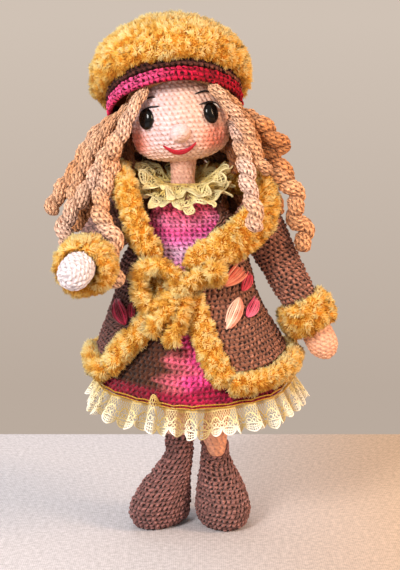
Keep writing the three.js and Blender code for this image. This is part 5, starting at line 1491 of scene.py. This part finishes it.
def skirt_lace_surface(turn, drop):
    """The gathered lace: it flares from under the hem in box pleats, which open more towards its edge. The
    pleats' sides lean in under their faces."""
    hem = dress_hem(turn) - GAP
    sway = turn - 0.3 / LACE_WAVES * drop * np.sin(2 * lace_phase(turn))
    wave = np.tanh(2.2 * gathers(turn))
    deep = 2.5 + 1.1 * np.sin(5 * turn + 1) + 0.8 * np.sin(11 * turn)
    far = 2.6 + 7.6 * drop + deep * mix(0.25, 1, drop) * wave
    top = cloth_place(sway, dress_hem(turn), -DRESS["wall"])
    place = top + spots(np.cos(sway), np.sin(sway), 0.0) * far[..., None]
    fold = np.exp(-((turn - FOLD_TURN) / 0.06) ** 2) * (1 - drop)
    uneven = (0.7 * np.sin(9 * turn) + 0.7 * np.sin(17 * turn)) * drop
    place[..., 2] = hem - 15.6 * drop + 0.5 * wave + uneven + 7 * fold
    return place + spots(0.0, -3 * fold, 0.0)


NECK_ASIDE = -2.4
NECK_LACE_INNER = 10.5
# Heights of the neck lace's edge in front, at the sides and at the back, its width and depth, and its waves.
NECK_LACES = [
    dict(front=200.5, side=215, back=216, wide=30.5, deep=26.5, waves=11, start=212.5, turn=0.4),
    dict(front=208, side=227, back=224, wide=29, deep=22, waves=10, start=215, turn=1.6),
]


def neck_lace_surface(layer):
    """A ruffled ring from the neck out to its edge. Its waves grow outwards and lean over one another."""
    ring = NECK_LACES[layer]

    def surface(turn, reach):
        lap = ring["waves"] * turn + ring["turn"] + 0.7 * np.sin(2 * turn + layer)
        sway = turn + 0.4 / ring["waves"] * reach * np.sin(2 * lap)
        wave = np.sin(lap)
        back = (1 + np.sin(turn)) / 2
        edge = np.interp(back, [0, 0.5, 1], [ring["front"], ring["side"], ring["back"]])
        grow = smooth(0.1, 1, reach)
        wide, deep = (mix(NECK_LACE_INNER, ring[key], reach) + 2.4 * grow * wave for key in ("wide", "deep"))
        found = np.stack([
            NECK_ASIDE + wide * np.cos(sway), deep * np.sin(sway) - 3 * reach * (1 - back),
            mix(ring["start"], edge, reach**1.2) + 2.4 * grow * np.cos(lap + 0.6)], axis=-1)
        crumple = np.stack([wander(found, 9, 200 + 3 * layer + k) for k in range(3)], axis=-1)
        return found + 0.9 * smooth(0, 0.3, reach)[..., None] * crumple

    return surface


# The lace thread's colours from the edge it hangs from to its free edge, darker towards the first as painted
# shade.
LACE_PAINTED_SHADE_STOPS = [(0, (226, 198, 120)), (0.3, (242, 224, 162)), (0.6, (250, 240, 202)), (1, (255, 252, 236))]


def lace(name, surface, repeats, seed, net, folds=None, wide=0.55, thick=0.4):
    """Lace of threads over a surface, whose repeats go once round. Each repeat has a net of slanting
    threads, an arch over two small eyelets, a larger eyelet beside them and a scallop with rays at the
    edge. Its cream thread is painted darker towards the edge it hangs from as painted shade, in patches
    of noise where no folds are given, and in the hollows between the folds where they are. Returns the
    piece and the flat area of its threads in mm2."""
    each = np.arange(repeats)[:, None]
    parts, shades, area = [], [], 0

    def add(u, v, size=1.0):
        nonlocal area
        u, v = np.broadcast_arrays(each + u, v)
        turn = u / repeats * TAU
        here = surface(turn, v)
        across, down = surface(turn + 0.003, v) - here, surface(turn, v + 0.01) - here
        area += np.linalg.norm(np.diff(here, axis=1), axis=-1).sum() * wide * size
        parts.append(threads(here, unit(np.cross(down, across)), wide * size, thick * size))
        shades.append(np.repeat(v.ravel(), 4))

    long = np.linspace(0, 1, 11)[None]
    bow = np.sin(np.pi * long)
    for way in (-1, 1):
        for start in np.arange(net) / net:
            step = np.linspace(0, 1, 6)[None]
            add(start + way * 0.5 * step, 0.05 + 0.44 * step, 0.65)
    for level, size in ((0.01, 1.5), (0.05, 1.1), (0.09, 0.9)):
        add(long, level + 0 * long, size)
    ring = np.linspace(0, TAU, 13)[None]
    eyelets = (0, 0.6, 0.17, 1.5), (0.36, 0.59, 0.11, 1.3), (0.64, 0.59, 0.11, 1.3)
    for middle, level, radius, size in eyelets:
        add(middle + radius * np.cos(ring), level + 0.63 * radius * np.sin(ring), size)
    add(long, 0.62 - 0.3 * bow, 1.5)
    add(long, 0.71 + 0.02 * np.cos(TAU * long), 1.8)
    for deep, size in ((0.27, 2.0), (0.17, 1.2), (0.09, 1.3)):
        add(long, 0.72 + deep * bow**0.6, size)
    for share in np.linspace(0.08, 0.92, 8):
        fan = np.linspace(0.02, 0.26, 3)[None]
        add(share + 0 * fan, 0.72 + fan * np.sin(np.pi * share) ** 0.6, 1.0)
    places, faces = gather(parts)
    shade = np.clip(np.concatenate(shades) + 0.12 * wander(places, 9, seed), 0, 1)
    tint = blend_colours(LACE_PAINTED_SHADE_STOPS, shade)
    if folds is None:
        # Painted shade in patches of noise.
        shaded = mix(0.7, 1, smooth(-0.6, 0.5, wander(places, 6, seed + 5)))
        tint = tint * colour(244, 234, 190) * shaded[:, None]
    else:
        # Painted shade in the hollows between the folds.
        tint = tint * mix(colour(186, 166, 122), np.ones(3), smooth(-1.1, 0.2, folds(places))[:, None])
    return add_mesh(name, places, faces, LOOKS["lace"], tint=tint), area * MM**2


def pleat_shade(places):
    """From -1 in the hollows between the skirt lace's pleats to 1 on their faces."""
    middle = lean_at(np.full(len(places), float(DRESS["hem"])))
    turn = np.arctan2(places[:, 1] / DRESS["hem_deep"], (places[:, 0] - middle) / DRESS["hem_wide"])
    return np.tanh(2.2 * gathers(turn))


for name, surface, repeats, seed, net, folds, node, flat, under in (
    ("skirt_lace_threads", skirt_lace_surface, 56, 90, 5, pleat_shade, "skirt_lace", (0.56, 0.018),
     "crocheted_skirt"),
    ("neck_lace_lower_threads", neck_lace_surface(0), 24, 91, 3, None, "neck_lace_lower", (0.24, 0.024),
     "crocheted_body"),
    ("neck_lace_upper_threads", neck_lace_surface(1), 22, 92, 3, None, "neck_lace_upper", (0.2, 0.02),
     "crocheted_body"),
):
    piece, area = lace(name, surface, repeats, seed, net, folds, *((0.55, 0.4) if folds else (0.8, 0.55)))
    settle(piece, "torso", "lace_thread", node)
    float(np.clip(area, 0.3 * flat[0] * flat[1], flat[0] * flat[1]))


# Sleeves, arms and cuffs

# Distance from the shoulder's pivot, and radius.
ARM_ROWS = [[-9, 0.4], [-8.2, 3.7], [-6, 6.7], [-3, 8.5], [0, 9], [6, 8.7], [33, 7.85], [66, 7.2],
            [74.8, 9.1], [82, 9.8], [90.5, 9.3], [94.2, 7.6], [97.2, 4.6], [99, 0.4]]
SLEEVE_ROWS = [[-14.6, 0.5], [-13.6, 5.3], [-11, 9.6], [-7, 12.8], [-3, 14.3], [2, 14.6], [33, 12.74],
               [66, 11]]


def round_arm(side, rows):
    """A surface round the arm: rows of distance and radius as a smooth line, read by its share of the way."""
    line, _ = smooth_line([[a, b, 0] for a, b in rows], 0.5)
    where = np.linspace(0, 1, len(line))
    return lambda turn, share: arm_place(
        side, turn, *(np.interp(share, where, line[:, k]) + 0 * turn for k in (0, 1)))


def sleeve_tint(crochet):
    # Painted shade: cooler towards the doll's right.
    cool = smooth(30, -40, crochet.base[..., 0])[..., None]
    tint = mix(colour(166, 110, 90), colour(148, 110, 102), cool)
    return tint * (1 + 0.06 * wander(crochet.base, 20, 95))[..., None] * own_tone(crochet, 0.1)


def hand_tint(crochet):
    side = np.sign(crochet.base[..., 0].mean())
    tint = colour(240, 230, 232) if side < 0 else colour(240, 186, 152)
    return tint * own_tone(crochet, 0.05)


# How far each cuff's fluffy yarn sinks below the wrist.
CUFF_HANG = {-1: 4.5, 1: 0.5}
for side, name in ((-1, "right"), (1, "left")):
    arm_skin = Crochet(round_arm(side, ARM_ROWS), steps=5, depth=0.55, seed=96 + side, middle=0.8)
    look = LOOKS["pale" if side < 0 else "skin"]
    arm = settle(stuffed(f"crocheted_{name}_arm", arm_skin, look, hand_tint), f"{name}_arm", "skin_yarn",
                 f"{name}_arm")
    sleeve_skin = Crochet(round_arm(side, SLEEVE_ROWS), steps=5, depth=1.25, seed=99 + side, middle=0.9)
    sleeve = settle(knitted_sheet(f"crocheted_{name}_sleeve", sleeve_skin, 3.0, LOOKS["coat"], sleeve_tint),
                    f"{name}_arm", "brown_yarn", f"{name}_sleeve")
    walk = np.linspace(0, TAU, 22, endpoint=False)
    distance = 66.5 + 10.2 * np.cos(walk)
    turn = TAU * np.arange(48) / 48
    hang = CUFF_HANG[side] * (PIVOT_HIGH - arm_place(side, turn, 0 * turn, 1 + 0 * turn)[:, 2:])
    radius = 13.2 + 0.55 * hang + (3.9 + 0.45 * hang) * np.sin(walk)
    ring = arm_place(side, turn[:, None] + 0 * radius, distance[None] + 0 * radius, radius)
    cuff = fluffy(f"fluffy_{name}_cuff", [capped(ring, closed_line=True)], 104 + side, long=2.8, lump=1.3,
                  light=0.08)
    settle(cuff, f"{name}_arm", "fluffy_yarn", f"{name}_cuff")


# Coat

def coat_surface(turn_share, share):
    """The coat's outer face: turn_share 0 to 1 goes from its left front edge round the back to the right."""
    edges = follow(EDGE_ROWS, share)
    inset = (EDGING["wide"] - 2.5) * smooth(0.3, 0.42, share)
    spare = np.degrees(inset / dress_half(mix(COAT_TOP, 97, share))[1])
    turn = np.radians(mix(edges[..., 1] + spare, edges[..., 0] - spare, turn_share))
    z = mix(COAT_TOP, coat_hem(turn) + EDGING["hem_wide"] + GAP, share)
    place = coat_place(turn, z, 0)
    for side in (-1, 1):
        pivot, way = arm_pivot(side), arm_way(side)
        from_pivot = place - pivot
        along = np.clip((from_pivot * way).sum(-1), 0, 66)
        core = pivot + way * along[..., None]
        off = place - core
        far = np.linalg.norm(off, axis=-1)
        room = np.interp(along, [0, 33, 66], [15.4, 13.6, 11.8])
        push = np.maximum(room - far, 0)
        place = place + unit(off) * push[..., None] * np.array([1, 1, 0.2])
    return place


def coat_tint(crochet):
    base = crochet.base
    # Painted shade: darker and cooler towards the doll's right, in the sleeve's shadow.
    cool = smooth(30, -40, base[..., 0])[..., None]
    tint = mix(colour(158, 104, 82), colour(124, 80, 74), cool)
    band = 1 + 0.07 * np.sin(crochet.round * 1.9)[:, None, None]
    return tint * band * (1 + 0.06 * wander(base, 18, 110))[..., None] * own_tone(crochet, 0.1)


coat_skin = Crochet(coat_surface, start=0.0, end=1.0, closed=False, steps=5, depth=1.3, seed=110, middle=0.9)
coat = settle(knitted_sheet("crocheted_coat", coat_skin, 2.5, LOOKS["coat"], coat_tint), "torso",
              "brown_yarn", "coat_body")


def front_edge(side):
    """The line of the fluffy edging down one front of the coat."""
    shares = mix(0.385, 0.985, np.linspace(0, 1, 24))
    turn = np.radians(follow(EDGE_ROWS, shares)[:, 0 if side < 0 else 1])
    return coat_place(turn, mix(COAT_TOP, coat_hem(turn), shares), EDGING["out"])


for side, name in ((-1, "right"), (1, "left")):
    line, _ = smooth_line(front_edge(side), 1.4)
    shape = fluff_tube(line, EDGING["wide"], EDGING["thick"], out=cloth_face(line))
    trim = fluffy(f"fluffy_{name}_front", [shape], 112 + side, long=2.7, light=0.14)
    settle(trim, "torso", "fluffy_yarn", f"{name}_front_trim")

turn = np.radians(np.linspace(-72, 217, 90))
line, _ = smooth_line(coat_place(turn, coat_hem(turn), EDGING["out"]), 1.6)
shape = fluff_tube(line, EDGING["hem_wide"] - 0.6, EDGING["hem_thick"], out=cloth_face(line))
hem = fluffy("fluffy_coat_hem", [shape], 115, long=2.7, light=0.14)
settle(hem, "torso", "fluffy_yarn", "hem_trim")

# The collar's middle line: x, y and z from the base of the neck, and its width, in shares of its spread.
COLLAR_ROWS = [
    [0.02, -0.84, -0.83, 0.62], [0.26, -0.8, -0.75, 0.95], [0.63, -0.74, -0.56, 1.2],
    [0.92, -0.52, -0.31, 1.4], [1.03, -0.16, -0.02, 1.35], [0.78, 0.24, 0.1, 1.1], [0.32, 0.54, 0.1, 1],
    [-0.26, 0.56, 0.1, 1],
    [-0.66, 0.26, 0.14, 1], [-0.78, -0.14, 0.18, 1], [-0.7, -0.5, 0.02, 0.9], [-0.59, -0.66, -0.26, 0.82],
    [-0.5, -0.74, -0.52, 0.8], [-0.3, -0.82, -0.78, 0.66],
]
COLLAR_SPREAD = 50
NECK_BASE = np.array([NECK_ASIDE, 0, HEIGHTS["neck"]])
rows = np.array(COLLAR_ROWS)
line, share = smooth_line(rows[:, :3] * COLLAR_SPREAD + NECK_BASE, 1.6)
width = 9.6 * follow(np.column_stack([np.linspace(0, 1, len(rows)), rows[:, 3]]), share)[:, 0]
face = unit(np.column_stack([line[:, 0] - NECK_BASE[0], line[:, 1], np.full(len(line), 13.0)]))
ends = round_ends(line, 5.6)
shape = capped(tube(line, (width - 0.8) * ends, 5.2 * ends, 24, out=face))
collar = fluffy("fluffy_collar", [shape], 118, long=2.9)
settle(collar, "torso", "fluffy_yarn", "coat_collar")

# The tie's middle lines, in shares of its spread from the knot.
TIE_SPREAD = 30
KNOT_DROP = 48
TIE_LOOP = [
    [0, 0, 0], [-0.16, -0.03, 0.32], [-0.43, -0.02, 0.49], [-0.68, 0.04, 0.43], [-0.8, 0.1, 0.2],
    [-0.76, 0.08, -0.1], [-0.59, 0.02, -0.32], [-0.35, -0.04, -0.28], [-0.1, -0.05, -0.1], [0, 0, 0],
]
TIE_TAILS = [
    [[0, 0, 0], [-0.22, -0.12, -0.36], [-0.46, -0.12, -0.62], [-0.58, -0.1, -0.86]],
    [[0, 0, 0], [0.02, -0.1, -0.44], [-0.1, -0.14, -0.76], [-0.24, -0.16, -1.05]],
    [[0, 0, 0], [0.16, -0.04, 0.16], [0.4, -0.01, 0.27], [0.67, 0.04, 0.35]],
]
knot_z = COAT_TOP - KNOT_DROP
knot = np.array([-3.7, 0.0, knot_z])
knot[1] = coat_place(np.float64(-np.pi / 2), np.float64(knot_z), 11.5)[1]


def ball(middle, radius, around=20):
    """A ball as rings from pole to pole, wound the same way as a tube."""
    rise = np.linspace(1.5, -1.5, 12)[:, None]
    turn = TAU * np.arange(around)[None] / around
    ring = spots(np.cos(rise) * np.cos(turn), np.cos(rise) * np.sin(turn), np.sin(rise))
    return capped(middle + ring * radius)


shapes = [ball(knot, 5.4), ball(knot + TIE_SPREAD * np.array(TIE_TAILS[2][-1]), 6.6)]
for points in [TIE_LOOP, *TIE_TAILS]:
    line, _ = smooth_line(np.array(points) * TIE_SPREAD + knot, 1.2)
    shapes.append(fluff_tube(line, 4.3, 4.1, 16))
tie = fluffy("fluffy_tie", shapes, 121, per_mm2=2.5, long=4.0)
settle(tie, "torso", "fluffy_yarn", "coat_tie")


# Embroidered petals: satin stitches side by side. Each row is a slot, a shape and two colours. The shape is
# the base and tip, sideways as shares of the coat's half width there and up from the waist, and the half
# width, as shares of the spread.
PETALS = {
    "left_petal_fan": ("salmon_thread", (0.529, 0.28, 0.867, 0.78, 0.27), (206, 84, 62), (252, 178, 142)),
    "left_petal_red": ("red_thread", (0.788, 0.05, 0.93, 0.58, 0.13), (170, 14, 44), (250, 92, 112)),
    "left_petal_cream": ("cream_thread", (0.717, -0.14, 0.442, -1, 0.2), (232, 140, 112), (255, 236, 214)),
    "left_petal_pink": ("pink_thread", (0.729, -0.7, 0.945, -0.2, 0.15), (196, 40, 80), (255, 130, 160)),
    "right_petal_dark": ("crimson_thread", (-0.718, -0.92, -0.928, -0.22, 0.22), (126, 10, 40),
                         (214, 44, 86)),
    "right_petal_small": ("crimson_thread", (-0.655, -0.74, -0.692, -0.2, 0.09), (120, 10, 36),
                          (206, 44, 78)),
}
PETAL_SPREAD = 20.0
# About how far the coat's outer face lies from the dress.
COAT_OUT = 5


def petal(base_x, base_up, tip_x, tip_up, half, count, fan):
    """Threads from a base to a tip on the coat, side by side as a leaf, or spread like a fan, and lifted
    along their middle. Each ends at its own share of the way."""
    def end(x, up):
        z = HEIGHTS["waist"] + up * PETAL_SPREAD
        wide = dress_half(np.float64(z))[0] + COAT_OUT
        return np.array([lean_at(z) + x * wide, 0, z])

    start, tip = end(base_x, base_up), end(tip_x, tip_up)
    along = tip - start
    across = unit(np.array([along[2], 0, -along[0]]))
    number = np.arange(count)[:, None]
    share = np.linspace(0, 1, 12)[None] * (1 - 0.22 * chance(number, count))
    place = np.linspace(-1, 1, count)[:, None]
    leaf, spray = np.sin(np.pi * share**0.8), share**0.7 * 1.1
    width = 0.4 + half * PETAL_SPREAD * mix(leaf, spray, fan)
    flat = start + along * share[..., None] + across * (place * width)[..., None]
    wide = dress_half(flat[..., 2])[0] + COAT_OUT
    turn = -np.arccos(np.clip((flat[..., 0] - lean_at(flat[..., 2])) / wide, -0.98, 0.98))
    lift = 0.5 + (1.2 + 0.6 * chance(number, 7)) * np.sin(np.pi * np.clip(share * 1.1, 0, 1)) ** 0.5
    line = coat_place(turn, flat[..., 2], lift)
    return line, cloth_face(line), number + 0 * share


for number, (node, (slot, shape, low, high)) in enumerate(PETALS.items()):
    count = round(4 + 22 * shape[4])
    line, out, own = petal(*shape, count, 0.8 if "fan" in node else 0.15)
    thread = 1.55 * shape[4] * PETAL_SPREAD / count + 0.25
    places, faces = threads(line, out, thread, thread, sides=6)
    tone = chance(np.repeat(own.ravel(), 6), number) * 0.9 + 0.12 * wander(places, 5, 130 + number)
    made = add_mesh(node + "_threads", places, faces, LOOKS["silk"],
                    tint=mix(colour(*low), colour(*high), np.clip(tone, 0, 1)[:, None]))
    settle(made, "torso", slot, node)


# Table, backdrop and light

def linen_look():
    """Pale cloth with painted warm light towards the doll's left: two crossed waves bent by noise make
    its weave.
    """
    look, nodes, place = new_look("table_linen")
    weave = [nodes.add("TexWave", {"Vector": place, "Scale": 260.0, "Distortion": 5.0, "Detail": 3.0,
                                   "Detail Scale": 2.0}, bands_direction=way).outputs["Fac"]
             for way in ("X", "Y")]
    cloth = nodes.sums("MULTIPLY_ADD", nodes.noise(place, 340.0, 3.0), 1.4,
                       nodes.sums("MULTIPLY", nodes.sums("ADD", *weave), 0.3))
    # Painted warm light on the cloth towards the doll's left.
    warm = nodes.ranged(nodes.split(place)[0], -0.03, 0.18, kind="SMOOTHSTEP")
    side = nodes.add("Mix", {0: warm, 6: (*colour(198, 195, 199), 1), 7: (*colour(200, 170, 140), 1)},
                     data_type="RGBA")
    worn = nodes.scaled(side.outputs[2], nodes.ranged(cloth, 0.6, 1.4, 0.74, 1.2))
    nodes.finish(worn, cloth, 0.2, 0.0004, Roughness=0.9)
    return look


TABLE = dict(x=(-1400, 1400), y=(-1500, 240), thick=30, round=24)
# The cloth bends down over the far edge.
bend = np.linspace(0, np.pi / 2, 12)
x = np.linspace(*TABLE["x"], 60)
y = np.concatenate([np.linspace(TABLE["y"][0], TABLE["y"][1] - TABLE["round"], 48),
                    TABLE["y"][1] - TABLE["round"] * (1 - np.sin(bend))])
z = np.concatenate([np.full(48, -0.02), -0.02 - TABLE["round"] * (1 - np.cos(bend))])
top = spots(x[None], y[:, None], z[:, None])
bottom = top.copy()
bottom[..., 2] -= TABLE["thick"]
edges = [(0, slice(None)), (-1, slice(None)), (slice(None), 0), (slice(None), -1)]
count = top.shape[0] * top.shape[1]
number = np.arange(count).reshape(top.shape[:2])
faces = [grid_faces(60, 60, False), grid_faces(60, 60, False, count)[:, ::-1]]
for k, edge in enumerate(edges):
    line = number[edge]
    wall = np.stack([line[:-1], line[1:], line[1:] + count, line[:-1] + count], axis=1)
    faces.append(wall[:, ::-1] if k in (0, 3) else wall)
table = add_mesh("table", np.concatenate([top.reshape(-1, 3), bottom.reshape(-1, 3)]), faces, linen_look())
table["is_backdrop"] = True

world = bpy.data.worlds.new("studio")
world.use_nodes = True
bpy.context.scene.world = world
nodes = Nodes(world.node_tree)
# The backdrop is lighter above. Camera, mirrors and clear pieces see it, and the glow lights the rest.
way = nodes.split(nodes.add("TexCoord").outputs["Generated"])
ramp = nodes.add("ValToRGB", {0: nodes.ranged(way[2], -0.21, 0.05)})
ramp.color_ramp.elements[0].color = (*colour(186, 171, 158), 1)
ramp.color_ramp.elements[1].color = (*colour(208, 194, 181), 1)
seen = nodes.add("Background", {"Color": ramp.outputs[0], "Strength": 1.0})
glow = nodes.add("Background", {"Color": (*colour(240, 234, 230), 1), "Strength": 0.74})
path = nodes.add("LightPath").outputs
rays = path["Is Camera Ray"]
for kind in ("Is Glossy Ray", "Is Transmission Ray"):
    rays = nodes.add("Math", {0: rays, 1: path[kind]}, operation="ADD", use_clamp=True).outputs[0]
pick = nodes.add("MixShader", {0: rays, 1: glow.outputs[0], 2: seen.outputs[0]})
nodes.add("OutputWorld", {0: pick.outputs[0]})


def lamp(name, at, aim, size, power, shade):
    """A square soft light at a place in mm, turned towards another."""
    light = bpy.data.lights.new(name, "AREA")
    light.size, light.energy, light.color = size * MM, power, colour(*shade)
    holder = bpy.data.objects.new(name, light)
    holder.location = (np.array(at, float) + DOLL_SHIFT) * MM
    way = Vector(np.array(aim, float) - np.array(at, float))
    holder.rotation_euler = way.to_track_quat("-Z", "Y").to_euler()
    bpy.context.collection.objects.link(holder)


lamp("key_light", (-440, -820, 610), (0, 0, 170), 300, 10.2, (255, 250, 246))
lamp("fill_light", (1200, -440, 700), (0, 0, 160), 460, 14.7, (255, 214, 176))
lamp("back_light", (-200, 720, 700), (0, 0, 180), 520, 3.0, (245, 248, 255))

low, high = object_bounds()
